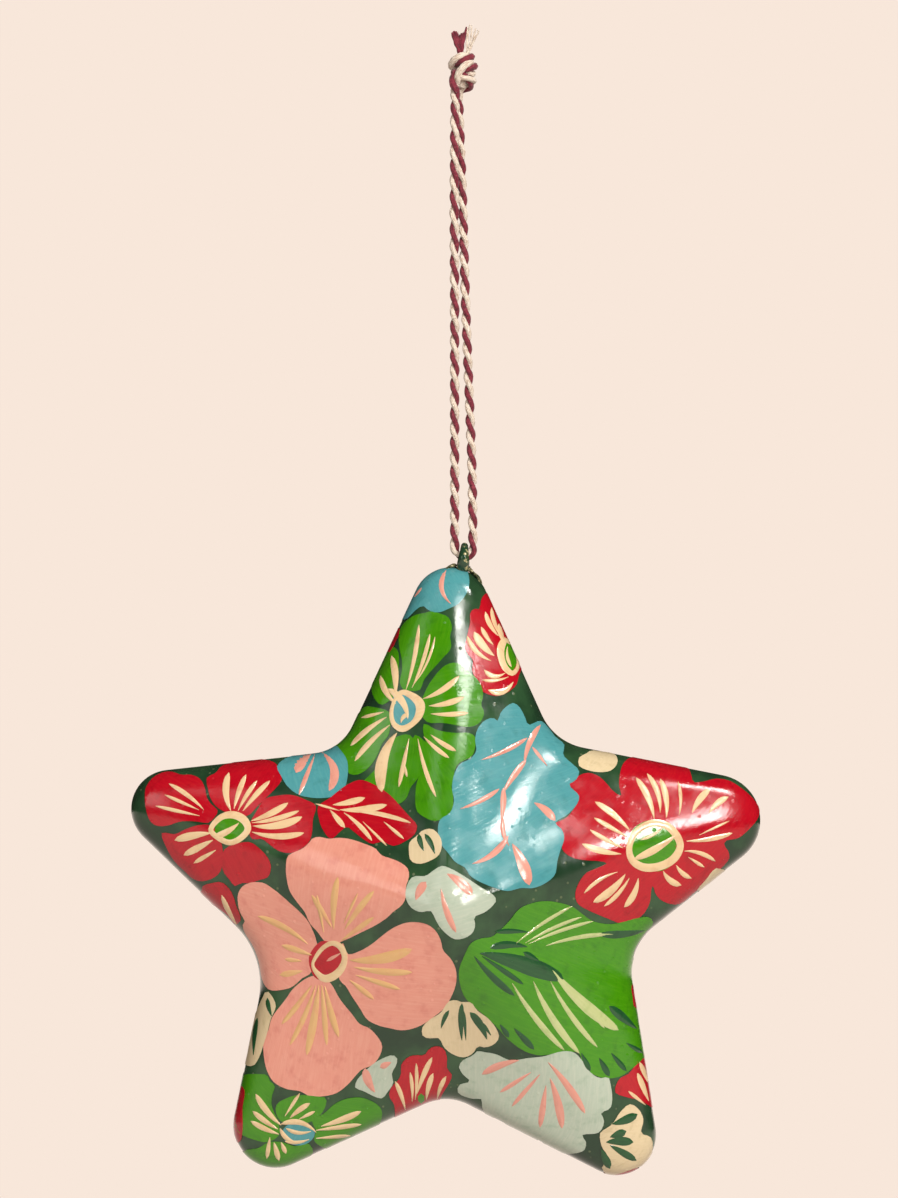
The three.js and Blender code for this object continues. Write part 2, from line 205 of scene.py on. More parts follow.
def make_brushed_paint():
    """Poster paint laid on with a small brush: streaks along the stroke, thin and thick patches."""
    group, n = new_group(
        "brushed_paint",
        [
            ("Vector", "NodeSocketVector", None),
            ("Body", "NodeSocketColor", None),
            ("Thin", "NodeSocketColor", None),
            ("Thick", "NodeSocketColor", None),
        ],
        [("Color", "NodeSocketColor"), ("Height", "NodeSocketFloat")],
    )
    start = n.add("NodeGroupInput")
    vector = start.outputs["Vector"]
    along = n.add("ShaderNodeMapping", {"Scale": (2.6, 0.22, 1)}, {"Vector": vector}).outputs[0]
    hairs = n.add("ShaderNodeTexNoise", {"Scale": 1, "Detail": 4, "Roughness": 0.6}, {"Vector": along})
    cloud = n.add("ShaderNodeTexNoise", {"Scale": 0.34, "Detail": 3, "Roughness": 0.6}, {"Vector": vector})
    streak = n.ramp(hairs.outputs["Fac"], 0.4, 0.72)
    thin = n.ramp(cloud.outputs["Fac"], 0.48, 0.72)
    colour = n.mix(n.math("MULTIPLY", thin, 0.5), start.outputs["Body"], start.outputs["Thin"])
    colour = n.mix(n.math("MULTIPLY", streak, 0.28), colour, start.outputs["Thick"])
    height = n.math("MULTIPLY", streak, 0.004)
    n.add("NodeGroupOutput", joins={"Color": colour, "Height": height})
    return group


def make_yarn_fibres():
    """Spun cotton: fibres along the yarn, with painted shade in the hollows between them."""
    group, n = new_group(
        "yarn_fibres",
        [
            ("Vector", "NodeSocketVector", None),
            ("Body", "NodeSocketColor", None),
            ("Shade_Between", "NodeSocketColor", None),
            ("Worn", "NodeSocketColor", None),
        ],
        [("Color", "NodeSocketColor"), ("Height", "NodeSocketFloat")],
    )
    start = n.add("NodeGroupInput")
    vector = start.outputs["Vector"]
    along = n.add("ShaderNodeMapping", {"Scale": (16, 1.1, 1)}, {"Vector": vector}).outputs[0]
    fibres = n.add("ShaderNodeTexNoise", {"Scale": 1, "Detail": 3, "Roughness": 0.65}, {"Vector": along})
    tufts = n.add("ShaderNodeTexNoise", {"Scale": 2.2, "Detail": 3}, {"Vector": vector})
    # Where the fibre relief is low the colour turns to the shade colour: painted shade between the fibres.
    deep = n.ramp(fibres.outputs["Fac"], 0.34, 0.56, 1, 0)
    worn = n.ramp(tufts.outputs["Fac"], 0.5, 0.75)
    colour = n.mix(deep, start.outputs["Body"], start.outputs["Shade_Between"])
    colour = n.mix(n.math("MULTIPLY", worn, 0.55), colour, start.outputs["Worn"])
    n.add("NodeGroupOutput", joins={"Color": colour, "Height": fibres.outputs["Fac"]})
    return group


lacquer_film = make_lacquer_film()
brushed_paint = make_brushed_paint()
yarn_fibres = make_yarn_fibres()


def new_material(name):
    """A material with its shader and the coordinates that its patterns read."""
    material = bpy.data.materials.new(name)
    material.use_nodes = True
    material.node_tree.nodes.clear()
    n = Nodes(material.node_tree)
    shader = n.add("ShaderNodeBsdfPrincipled")
    n.add("ShaderNodeOutputMaterial", joins={"Surface": shader.outputs["BSDF"]})
    place = n.add("ShaderNodeTexCoord")
    return material, n, shader, place


def dress(n, shader, colour, roughness, height, depth, strength=1):
    """Gives the shader its colour, its roughness and a relief as deep as depth."""
    bump = n.add("ShaderNodeBump", {"Strength": strength, "Distance": depth}, {"Height": height})
    n.put(shader.inputs["Base Color"], colour)
    n.put(shader.inputs["Roughness"], roughness)
    n.put(shader.inputs["Normal"], bump.outputs["Normal"])


def gloss_paint(name, body, thin, thick, dust=1.0):
    """One of the flower colours under the star's clear lacquer."""
    material, n, shader, place = new_material(name)
    paint = n.add("ShaderNodeGroup", node_tree=brushed_paint)
    n.put(paint.inputs["Vector"], place.outputs["UV"])
    for title, colour in (("Body", body), ("Thin", thin), ("Thick", thick)):
        n.put(paint.inputs[title], painted(colour))
    film = n.add("ShaderNodeGroup", node_tree=lacquer_film)
    n.put(film.inputs["Vector"], place.outputs["Object"])
    n.put(film.inputs["Dust"], dust)
    height = n.math("ADD", film.outputs["Height"], paint.outputs["Height"])
    dress(n, shader, paint.outputs["Color"], film.outputs["Roughness"], height, MM)
    shader.inputs["IOR"].default_value = LACQUER_IOR
    return material


def ground_paint():
    """The star's dark green ground, brushed on and lacquered, with gilt and grime in the dust."""
    material, n, shader, place = new_material("dark_green_ground")
    film = n.add("ShaderNodeGroup", {"Dust": 1.0}, node_tree=lacquer_film)
    n.put(film.inputs["Vector"], place.outputs["Object"])
    cloud = n.add("ShaderNodeTexNoise", {"Scale": 160, "Detail": 4}, {"Vector": place.outputs["Object"]})
    colour = n.mix(n.ramp(cloud.outputs["Fac"], 0.35, 0.7), painted((31, 60, 38)), painted((52, 88, 54)))
    colour = n.mix(n.math("MULTIPLY", film.outputs["Dust"], 0.5), colour, painted((120, 130, 90)))
    dress(n, shader, colour, film.outputs["Roughness"], film.outputs["Height"], MM)
    shader.inputs["IOR"].default_value = LACQUER_IOR
    return material


def cotton(name, body, deep, worn):
    """Soft spun yarn, with painted shade between its fibres, and rubbed paler in places."""
    material, n, shader, place = new_material(name)
    fibres = n.add("ShaderNodeGroup", node_tree=yarn_fibres)
    n.put(fibres.inputs["Vector"], place.outputs["UV"])
    for title, colour in (("Body", body), ("Shade_Between", deep), ("Worn", worn)):
        n.put(fibres.inputs[title], painted(colour))
    dress(n, shader, fibres.outputs["Color"], 0.78, fibres.outputs["Height"], 0.09 * MM, 0.9)
    shader.inputs["Sheen Weight"].default_value = 0.25
    shader.inputs["Sheen Roughness"].default_value = 0.5
    return material


def glue_lump():
    """Dried glue under gilt and varnish, crazed into small plates."""
    material, n, shader, place = new_material("crackled_glue")
    vector = place.outputs["Object"]
    plates = n.add("ShaderNodeTexVoronoi", {"Scale": 1500}, {"Vector": vector}, feature="DISTANCE_TO_EDGE")
    tones = n.add("ShaderNodeTexVoronoi", {"Scale": 1500}, {"Vector": vector})
    cloud = n.add("ShaderNodeTexNoise", {"Scale": 700, "Detail": 3}, {"Vector": vector})
    gilt = n.mix(n.ramp(cloud.outputs["Fac"], 0.42, 0.6), painted((186, 176, 130)), painted((78, 94, 62)))
    gilt = n.mix(n.ramp(tones.outputs["Distance"], 0.08, 0.36), painted((236, 226, 190)), gilt)
    crack = n.ramp(plates.outputs["Distance"], 0.02, 0.12, 1, 0)
    colour = n.mix(n.math("MULTIPLY", crack, 0.85), gilt, painted((38, 48, 30)))
    roughness = n.ramp(cloud.outputs["Fac"], 0.3, 0.7, 0.12, 0.35)
    dress(n, shader, colour, roughness, n.ramp(plates.outputs["Distance"], 0, 0.2), 0.12 * MM)
    return material


def painted_wire():
    """Iron wire coated with the ground colour, thick and glossy, with gilt rubbed on its ribs and pale flecks
    that are gilt and in part painted glints.
    """
    material, n, shader, place = new_material("painted_wire")
    vector = place.outputs["Object"]
    cloud = n.add("ShaderNodeTexNoise", {"Scale": 1100, "Detail": 4}, {"Vector": vector})
    ribs = n.add("ShaderNodeTexNoise", {"Scale": 420, "Detail": 3}, {"Vector": vector})
    colour = n.mix(n.ramp(ribs.outputs["Fac"], 0.52, 0.66), painted((38, 70, 46)), painted((92, 104, 62)))
    # Pale cream flecks: rubbed gilt, and in part painted glints on the wire.
    colour = n.mix(n.ramp(cloud.outputs["Fac"], 0.57, 0.64), colour, painted((206, 192, 140)))
    roughness = n.ramp(cloud.outputs["Fac"], 0.3, 0.7, 0.06, 0.18)
    dress(n, shader, colour, roughness, ribs.outputs["Fac"], 0.12 * MM)
    return material


def raw_pulp():
    """Bare paper pulp, rough and flecked."""
    material, n, shader, place = new_material("raw_pulp")
    vector = place.outputs["Object"]
    fleck = n.add("ShaderNodeTexNoise", {"Scale": 900, "Detail": 6, "Roughness": 0.7}, {"Vector": vector})
    pale = n.ramp(fleck.outputs["Fac"], 0.35, 0.68)
    colour = n.mix(pale, painted((120, 108, 92)), painted((196, 184, 164)))
    dress(n, shader, colour, 0.92, fleck.outputs["Fac"], 0.2 * MM, 0.8)
    return material


MATERIALS = {
    "ground": ground_paint(),
    "red": gloss_paint("red_petal", (186, 10, 32), (146, 4, 22), (212, 40, 40)),
    "green": gloss_paint("leaf_green", (66, 144, 7), (45, 112, 10), (98, 167, 23)),
    "blue": gloss_paint("sky_blue", (81, 158, 164), (62, 134, 136), (112, 182, 180)),
    "pink": gloss_paint("coral_pink", (236, 158, 138), (214, 120, 108), (248, 190, 166)),
    "mint": gloss_paint("pale_mint", (188, 201, 181), (148, 174, 148), (224, 222, 204)),
    "cream": gloss_paint("cream_dot", (228, 207, 166), (192, 172, 130), (246, 227, 190)),
    "cream_line": gloss_paint("cream_line", (238, 206, 158), (214, 160, 118), (250, 228, 190), dust=0.6),
    "pink_line": gloss_paint("pink_line", (230, 158, 140), (206, 124, 112), (246, 190, 168), dust=0.6),
    "butter_line": gloss_paint("butter_line", (232, 184, 124), (232, 158, 122), (240, 204, 146), dust=0.6),
    "sage_line": gloss_paint("sage_line", (196, 204, 140), (150, 178, 96), (222, 220, 172), dust=0.6),
    "dark_line": gloss_paint("dark_green_line", (34, 84, 46), (24, 62, 36), (58, 108, 56), dust=0.6),
    # Each ply's second colour is the painted shade between its fibres.
    "burgundy_ply": cotton("burgundy_ply", (132, 30, 52), (78, 12, 30), (176, 74, 88)),
    "cream_ply": cotton("cream_ply", (240, 226, 208), (196, 168, 146), (252, 244, 232)),
    "glue": glue_lump(),
    "wire": painted_wire(),
    "pulp": raw_pulp(),
}


# Sweeps
def each_once(elements):
    """The elements without repeats, in the order they come in."""
    return list(dict.fromkeys(elements))


def smooth_route(points, step, closed=False):
    """Points a step apart on a centripetal Catmull-Rom line through the given ones."""
    p = np.array(points, float)
    p = np.vstack([p[-1], p, p[:2]]) if closed else np.vstack([2 * p[0] - p[1], p, 2 * p[-1] - p[-2]])
    line = []
    for i in range(1, len(p) - 2):
        quad = p[i - 1 : i + 3]
        gaps = np.linalg.norm(np.diff(quad, axis=0), axis=1) ** 0.5
        k = np.concatenate([[0], np.cumsum(np.maximum(gaps, 1e-6))])
        t = np.linspace(k[1], k[2], 16, endpoint=False)[:, None]
        a = [((k[j + 1] - t) * quad[j] + (t - k[j]) * quad[j + 1]) / (k[j + 1] - k[j]) for j in range(3)]
        b = [((k[j + 2] - t) * a[j] + (t - k[j]) * a[j + 1]) / (k[j + 2] - k[j]) for j in range(2)]
        line.append(((k[2] - t) * b[0] + (t - k[1]) * b[1]) / (k[2] - k[1]))
    line.append(p[1][None] if closed else p[-2][None])
    return evenly(np.vstack(line), step, closed)


def travelled_along(line):
    """How far along the line each of its points lies."""
    return np.concatenate([[0], np.cumsum(np.linalg.norm(np.diff(line, axis=0), axis=1))])


def evenly(line, step, closed=False):
    """The same line with its points one step apart."""
    travel = travelled_along(line)
    count = max(2, int(round(travel[-1] / step)))
    stops = np.linspace(0, travel[-1], count + 1)
    if closed:
        stops = stops[:-1]
    return np.column_stack([np.interp(stops, travel, line[:, k]) for k in range(line.shape[1])])


def length_of(line):
    return float(np.linalg.norm(np.diff(line, axis=0), axis=1).sum())


def frames_along(line):
    """Unit tangents and two normals at each point, carried along from +X without any twist."""
    tangents = np.gradient(line, axis=0)
    tangents /= np.linalg.norm(tangents, axis=1)[:, None]
    first = np.array((1.0, 0.0, 0.0))
    first -= tangents[0] * (first @ tangents[0])
    normals = [first / np.linalg.norm(first)]
    for tangent in tangents[1:]:
        carried = normals[-1] - tangent * (normals[-1] @ tangent)
        normals.append(carried / np.linalg.norm(carried))
    normals = np.array(normals)
    return tangents, normals, np.cross(tangents, normals)


def sweep(bm, sections, material=0, around=1.0, capped=True):
    """Draws a ring out through the sections. U runs from 0 to around, V in millimetres along."""
    count = len(sections[0])
    place = bm.verts.layers.int.get("place") or bm.verts.layers.int.new("place")
    along = bm.verts.layers.float.get("along") or bm.verts.layers.float.new("along")
    uv = bm.loops.layers.uv.get("lay") or bm.loops.layers.uv.new("lay")
    ring = bmesh.ops.create_circle(bm, segments=count, radius=1)["verts"]
    edges = each_once(e for v in ring for e in v.link_edges)
    for k, v in enumerate(ring):
        v[place] = k
        v.co = sections[0][k]
    travelled = 0.0
    faces = []
    first_ring = list(ring)
    for i in range(1, len(sections)):
        made = bmesh.ops.extrude_edge_only(bm, edges=edges)["geom"]
        ring = [g for g in made if isinstance(g, bmesh.types.BMVert)]
        edges = [g for g in made if isinstance(g, bmesh.types.BMEdge)]
        faces += [g for g in made if isinstance(g, bmesh.types.BMFace)]
        travelled += float(np.linalg.norm(np.mean(sections[i], axis=0) - np.mean(sections[i - 1], axis=0)))
        for v in ring:
            v.co = sections[i][v[place]]
            v[along] = travelled
    for face in faces:
        face.material_index = material
        seam = max(l.vert[place] for l in face.loops) - min(l.vert[place] for l in face.loops) > count / 2
        for l in face.loops:
            turn = l.vert[place] + (count if seam and l.vert[place] < count / 2 else 0)
            l[uv].uv = (turn / count * around, l.vert[along])
    if capped:
        for end in (first_ring, ring):
            end_edges = each_once(e for v in end for e in v.link_edges if e.is_boundary)
            for face in bmesh.ops.contextual_create(bm, geom=end_edges)["faces"]:
                face.material_index = material
                faces.append(face)
    bmesh.ops.recalc_face_normals(bm, faces=faces)


def tube_sections(line, radii, sides, lobes=0, lobe_depth=0.0, lobe_turn=0.0):
    """Round sections along a line, or lobed ones that turn by lobe_turn radians per millimetre."""
    _, first, second = frames_along(line)
    travel = travelled_along(line)
    turns = np.arange(sides) / sides * 2 * math.pi
    sections = []
    for i, centre in enumerate(line):
        wide = radii[i] * (1 + lobe_depth * np.cos(lobes * (turns - lobe_turn * travel[i])))
        sections.append(
            centre + (wide * np.cos(turns))[:, None] * first[i] + (wide * np.sin(turns))[:, None] * second[i]
        )
    return sections


# Cords
CORD_STEP = 0.24
PITCH = 4.6  # one turn of the plies below the twist
PLY_OFFSET = 0.345
PLY_RADIUS = 0.42
YARNS = 5  # lobes to be seen round a ply
YARN_DEPTH = 0.07
YARN_TURN = 2 * math.pi / 6.5
LEG_X = 1.45
TWIST_Z = -36.0  # the twist is taken up above here, where the pieces of the cord meet
BEND_Z = -72.2
LEFT_ROUTE = [
    (-LEG_X, 0, BEND_Z), (-LEG_X, 0, -60), (-LEG_X, 0, -48), (-LEG_X, -0.1, -34), (-1.5, -0.45, -17),
    (-1.4, -0.75, -3), (-1.35, -0.8, 0), (-1.3, -0.82, 0.8),
]
RIGHT_ROUTE = [
    (LEG_X, 0, BEND_Z), (1.3, 0, -60), (0.85, 0.1, -48), (0.3, 0.35, -34), (-0.2, 0.8, -17),
    (-0.75, 0.95, -3), (-0.85, 0.95, 0), (-0.85, 0.9, 0.8),
]

# Heights at which the burgundy ply lies in front of each leg: one below the twist, the rest above it.
LEFT_PHASE_Z = -42.95
RIGHT_PHASE_Z = -44.06
LEFT_FRONTS = (-33.3, -28.2, -23.1, -17.9, -12.9, -8.4, -3.6, 0.5)
RIGHT_FRONTS = (-34.9, -29.6, -25.0, -20.5, -15.8, -10.7, -5.9, -1.5, 3.0)


def leg_part(route, low, high):
    """The stretch of a leg's route between two heights, with a point at each of them."""
    line = smooth_route(route, 0.1)
    kept = line[(line[:, 2] > low) & (line[:, 2] < high)]
    ends = [np.array([np.interp(z, line[:, 2], line[:, k]) for k in range(3)]) for z in (low, high)]
    return np.vstack([ends[0], kept, ends[1]])


def two_ply(bm, line, turns, offset=PLY_OFFSET, radius=PLY_RADIUS):
    """A burgundy and a cream ply round the line. turns is the burgundy one's angle at each point."""
    _, first, second = frames_along(line)
    for material in (0, 1):
        angle = turns + math.pi * material
        ply = line + offset * (np.cos(angle)[:, None] * first + np.sin(angle)[:, None] * second)
        radii = np.full(len(ply), radius)
        sweep(bm, tube_sections(ply, radii, 16, YARNS, YARN_DEPTH, YARN_TURN), material)


def cord_piece(name, line, turns):
    bm = bmesh.new()
    two_ply(bm, line, turns)
    return finished(name, bm, [MATERIALS["burgundy_ply"], MATERIALS["cream_ply"]])


left_upper_line = evenly(leg_part(LEFT_ROUTE, TWIST_Z, 0)[::-1], CORD_STEP)
right_upper_line = evenly(leg_part(RIGHT_ROUTE, TWIST_Z, 0)[::-1], CORD_STEP)
round_bend = np.linspace(math.pi, 2 * math.pi, 24)[1:-1]
bend_line = np.column_stack(
    [LEG_X * np.cos(round_bend), np.zeros(len(round_bend)), BEND_Z + LEG_X * np.sin(round_bend)]
)
left_lower_line = leg_part(LEFT_ROUTE, BEND_Z, TWIST_Z)[::-1]
right_lower_line = leg_part(RIGHT_ROUTE, BEND_Z, TWIST_Z)
lower_line = evenly(np.vstack([left_lower_line, bend_line, right_lower_line]), CORD_STEP)

# The plies meet where the pieces do. What doesn't come out as whole turns is left out of the bend.
FALL = 2 * math.pi / PITCH
FRONT = math.pi / 2
left_join = FRONT + FALL * (TWIST_Z - LEFT_PHASE_Z)
right_join = FRONT + FALL * (TWIST_Z - RIGHT_PHASE_Z)
right_front = length_of(lower_line) - (TWIST_Z - RIGHT_PHASE_Z)
whole_turns = math.floor((FALL * right_front - left_join + FRONT) / (2 * math.pi))
unturned = right_front - (left_join - FRONT + 2 * math.pi * whole_turns) / FALL


def upper_turns(line, join, fronts):
    """The burgundy ply's angle along an upper leg, which is in front at each of the given heights."""
    heights = (TWIST_Z,) + fronts
    angles = [join] + [FRONT + 2 * math.pi * (k + 2) for k in range(len(fronts))]
    return np.interp(line[:, 2], heights, angles)


def lower_turns():
    """The burgundy ply's angle down one leg, round the bend with less twist, and up the other."""
    travel = travelled_along(lower_line)
    past_bend = travel - (length_of(lower_line) + lower_line[0, 2] - lower_line[-1, 2]) / 2
    return left_join - FALL * (travel - unturned * (0.5 + 0.5 * np.tanh(past_bend / 2)))


left_turns = upper_turns(left_upper_line, left_join, LEFT_FRONTS)
right_turns = upper_turns(right_upper_line, right_join, RIGHT_FRONTS)
left_upper = cord_piece("cord_leg_left", left_upper_line, left_turns)
right_upper = cord_piece("cord_leg_right", right_upper_line, right_turns)
lower_cord = cord_piece("cord_bight_loop", lower_line, lower_turns())

for piece, line, exit_at, nodes in (
    (left_upper, left_upper_line, left_upper_line[0], ["cord_left_upper"]),
    (right_upper, right_upper_line, right_upper_line[0], ["cord_right_upper"]),
    (lower_cord, lower_line, lower_line[0], ["cord_left_lower", "cord_right_lower", "cord_bight"]),
):
    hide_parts(*nodes)
for piece in (left_upper, right_upper):
    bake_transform(piece, "loop_top", "loop_bottom", (0, 0, -3 * MM), (0, 0, TWIST_Z * MM))
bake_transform(lower_cord, "loop_bottom", "loop_bight", (0, 0, -60 * MM), (0, 0, -69 * MM))


# Knot and cut ends
FINE_STEP = 0.12
WRAP_ROUTE = [
    (-1.35, -0.82, 0.0), (-1.45, -1.0, 1.2), (-1.15, -1.25, 2.5), (-0.1, -1.45, 3.5), (1.05, -0.95, 4.1),
    (1.35, 0.2, 4.3), (0.5, 1.2, 4.2), (-0.9, 1.1, 4.1), (-1.6, 0.1, 4.3), (-1.15, -1.0, 4.75),
    (-0.1, -1.3, 5.2), (0.8, -0.6, 5.5), (0.5, 0.3, 5.5), (-0.3, 0.3, 5.6),
]
UNDER_ROUTE = [
    (-0.85, 0.95, 0.0), (-0.1, 1.05, 0.6), (0.95, 0.7, 1.1), (1.3, -0.3, 1.5), (0.6, -1.15, 2.0),
    (-0.5, -1.15, 2.5), (-1.35, -0.2, 2.9), (-0.9, 1.0, 3.1), (0.4, 1.2, 3.2), (1.2, 0.5, 3.2),
    (1.1, -0.4, 3.1), (0.3, -0.5, 3.6), (0.2, 0.1, 4.5), (0.45, 0, 5.6),
]
WRAP_PHASE = 5.47
WRAP_LAY = [0, 2.2, 24], [0, 0.48, 3.0]  # millimetres along the wrap, and turns of the plies there
UNDER_PHASE = 2.4
UNDER_PITCH = 5.6
CORE_ROUTE = [(-0.5, 0.1, 0.7), (-0.2, 0.1, 2.2), (0.0, 0.0, 3.6), (0.0, 0.0, 5.4)]
CORE_RADIUS = 0.8


def cord_knot():
    """The left leg wraps round over the right one, and a core fills the room between their turns."""
    bm = bmesh.new()
    wrap = smooth_route(WRAP_ROUTE, FINE_STEP)
    # It is laid as tightly as the leg at first and more loosely from there.
    wrap_turns = np.interp(travelled_along(wrap), *WRAP_LAY)
    two_ply(bm, wrap, WRAP_PHASE - 2 * math.pi * wrap_turns, offset=0.4, radius=0.55)
    under = smooth_route(UNDER_ROUTE, FINE_STEP)
    under_turns = UNDER_PHASE - 2 * math.pi * travelled_along(under) / UNDER_PITCH
    two_ply(bm, under, under_turns, offset=0.34, radius=0.42)
    core = smooth_route(CORE_ROUTE, 0.3)
    core_radii = np.full(len(core), CORE_RADIUS)
    sweep(bm, tube_sections(core, core_radii, 14, YARNS, YARN_DEPTH, lobe_turn=0.9), material=1)
    return finished("cord_knot_wraps", bm, [MATERIALS["burgundy_ply"], MATERIALS["cream_ply"]])


def cut_end(name, root, tips, material, width):
    """The yarns of one cut end, each with a ragged tip of loose fibres."""
    chance = random.Random(name)
    bm = bmesh.new()
    for end in tips:
        foot = np.array(root) + [chance.uniform(-0.22, 0.22), chance.uniform(-0.25, 0.25), -0.5]
        top = np.array(end, float)
        middle = foot * 0.5 + top * 0.5 + [chance.uniform(-0.18, 0.18), chance.uniform(-0.2, 0.2), 0]
        line = smooth_route([foot, middle, top], FINE_STEP)
        radii = width * np.interp(np.linspace(0, 1, len(line)), [0, 0.5, 0.9, 1], [1, 1, 0.9, 0.7])
        sections = tube_sections(line, radii, 10, lobes=3, lobe_depth=0.14, lobe_turn=1.6)
        sweep(bm, sections, around=0.5)
        for _ in range(3):
            start = line[-chance.randint(2, max(3, len(line) // 4))]
            away = np.array([chance.uniform(-0.2, 0.2), chance.uniform(-0.2, 0.2), chance.uniform(0.2, 0.5)])
            tip = start + away + [chance.uniform(-0.2, 0.2), 0, 0]
            hair = smooth_route([start, start + away * 0.5, tip], 0.15)
            sweep(bm, tube_sections(hair, np.linspace(0.035, 0.015, len(hair)), 5), around=0.1)
    return finished(name, bm, [material])


knot = cord_knot()
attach(knot, "loop_top")
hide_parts("cord_knot")
red_end = cut_end(
    "cut_end_burgundy",
    (-0.55, 0, 6.3),
    [
        (-1.85, -0.1, 9.4), (-1.6, 0.15, 9.65), (-1.3, -0.15, 9.6), (-1.05, 0.1, 9.3), (-0.55, 0.1, 9.1),
        (-0.25, -0.15, 9.3), (0.0, 0.1, 9.4), (0.5, 0.1, 10.3),
    ],
    MATERIALS["burgundy_ply"],
    0.27,
)
cream_end = cut_end(
    "cut_end_cream",
    (0.5, 0, 6.2),
    [
        (0.6, -0.1, 10.3), (0.95, 0.1, 10.7), (1.25, -0.1, 10.5), (1.9, 0.15, 10.1), (2.4, 0, 9.7),
        (1.9, -0.15, 8.9),
    ],
    MATERIALS["cream_ply"],
    0.13,
)
for piece, node, finish in ((red_end, "cut_end_red", "yarn_red"), (cream_end, "cut_end_cream", "yarn_cream")):
    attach(piece, "loop_top")
    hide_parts(node)


# Star form
MIDDLE = np.array([-2.6, -128.0])
CROWN = 17.5  # how far the middle stands out from the rim's plane
RIM_SHARE = 0.42  # the share of that height which the rounded rim takes up
RIM_DEPTH = 0.09  # how far in the rim's round goes, as a share of the middle's depth
ARM_TAPER = 0.645  # how much flatter the arms are at ARM_REACH
ARM_REACH = 52.0
MIDDLE_ROUND = 5.0
GROOVE_SHARE = 0.055
GROOVE_WIDTH = 5.0
GROOVE_START = 10  # the grooves have their full depth from here outwards
NEAREST = 0.03  # no point is taken to lie nearer the outline than this
BATCH = 4000  # points worked out at a time
SWELL = 0.2
OUTLINE_STEP = 0.5
# Bearing in degrees, reach, radius, and 1 for an arm's tip or -1 for a valley.
CORNERS = [
    (16.6, 51.4, 7.2, 1), (54.8, 31.3, 9.2, -1), (89.3, 52.6, 6.0, 1), (125.6, 30.1, 7.8, -1),
    (161.8, 52.4, 6.1, 1), (197.4, 31.7, 13.1, -1), (232.7, 51.5, 6.6, 1), (269.5, 31.5, 8.0, -1),
    (305.7, 52.1, 6.3, 1), (343.3, 30.8, 9.4, -1),
]
AROUND = 512
RINGS = 128


def star_outline():
    """Round tips and round valleys joined by straight sides, anticlockwise about the middle."""
    circles = []
    for angle, reach, round_, outwards in CORNERS:
        turn = math.radians(angle)
        centre = np.array([math.cos(turn), math.sin(turn)]) * (reach - outwards * round_)
        circles.append((centre, round_, outwards))
    sides = []
    for i, (centre, round_, outwards) in enumerate(circles):
        next_centre, next_round, _ = circles[(i + 1) % len(circles)]
        across = next_centre - centre
        lean = math.asin((round_ + next_round) / np.linalg.norm(across)) * outwards
        ux, uy = across / np.linalg.norm(across)
        cos, sin = math.cos(lean), math.sin(lean)
        along = np.array([ux * cos - uy * sin, ux * sin + uy * cos])
        left = np.array([-along[1], along[0]]) * outwards
        sides.append((centre - left * round_, next_centre + left * next_round))
    points = []
    for i, (centre, round_, outwards) in enumerate(circles):
        start, end = sides[i - 1][1] - centre, sides[i][0] - centre
        a, b = math.atan2(start[1], start[0]), math.atan2(end[1], end[0])
        sweep_angle = (b - a) % (2 * math.pi) if outwards > 0 else -((a - b) % (2 * math.pi))
        count = max(6, int(abs(sweep_angle) * round_ / OUTLINE_STEP))
        for t in np.linspace(a, a + sweep_angle, count):
            points.append(centre + round_ * np.array([math.cos(t), math.sin(t)]))
    line = np.array(points + points[:1])
    line = evenly(line, length_of(line) / AROUND, True)
    start = int(np.argmin(np.abs(np.arctan2(line[:, 1], line[:, 0]))))
    return np.roll(line, -start, axis=0)


OUTLINE = star_outline()


def eased_depth(points):
    """How deep each point lies inside the outline, with soft ridges along the arms.

    It is got from the sum of 1 / distance**6 along the sides of the outline, worked out side by side,
    and is the plain distance beside a long straight side.
    """
    a, b = OUTLINE, np.roll(OUTLINE, -1, axis=0)
    length = np.linalg.norm(b - a, axis=1)
    unit = (b - a) / length[:, None]
    depths = []
    for some in np.array_split(points, max(1, len(points) // BATCH)):
        gap = some[:, None, :] - a[None]
        along = (gap * unit).sum(2)
        away = np.maximum(np.abs(gap[..., 0] * unit[:, 1] - gap[..., 1] * unit[:, 0]), NEAREST)
        total = 3 * np.arctan2(away * length, away**2 - along * (length - along)) / (8 * away**5)
        for s in (length - along, along):
            total += s * (5 * away**2 + 3 * s**2) / (8 * away**4 * (away**2 + s**2) ** 2)
        depths.append((total.sum(1) / (3 * math.pi / 8)) ** (-1 / 5))
    return np.concatenate(depths)


def groove_at(points):
    """How much of a soft groove lies at each point. The grooves run out to the valleys."""
    reach = np.linalg.norm(points, axis=1)
    set_in = np.clip(reach / GROOVE_START, 0, 1)
    share = np.zeros(len(points))
    for angle, _, _, outwards in CORNERS:
        if outwards < 0:
            ux, uy = math.cos(math.radians(angle)), math.sin(math.radians(angle))
            ahead = points[:, 0] * ux + points[:, 1] * uy > 0
            off = points[:, 0] * uy - points[:, 1] * ux
            share = np.maximum(share, np.where(ahead, np.exp(-((off / GROOVE_WIDTH) ** 2)), 0))
    return set_in**2 * (3 - 2 * set_in) * share


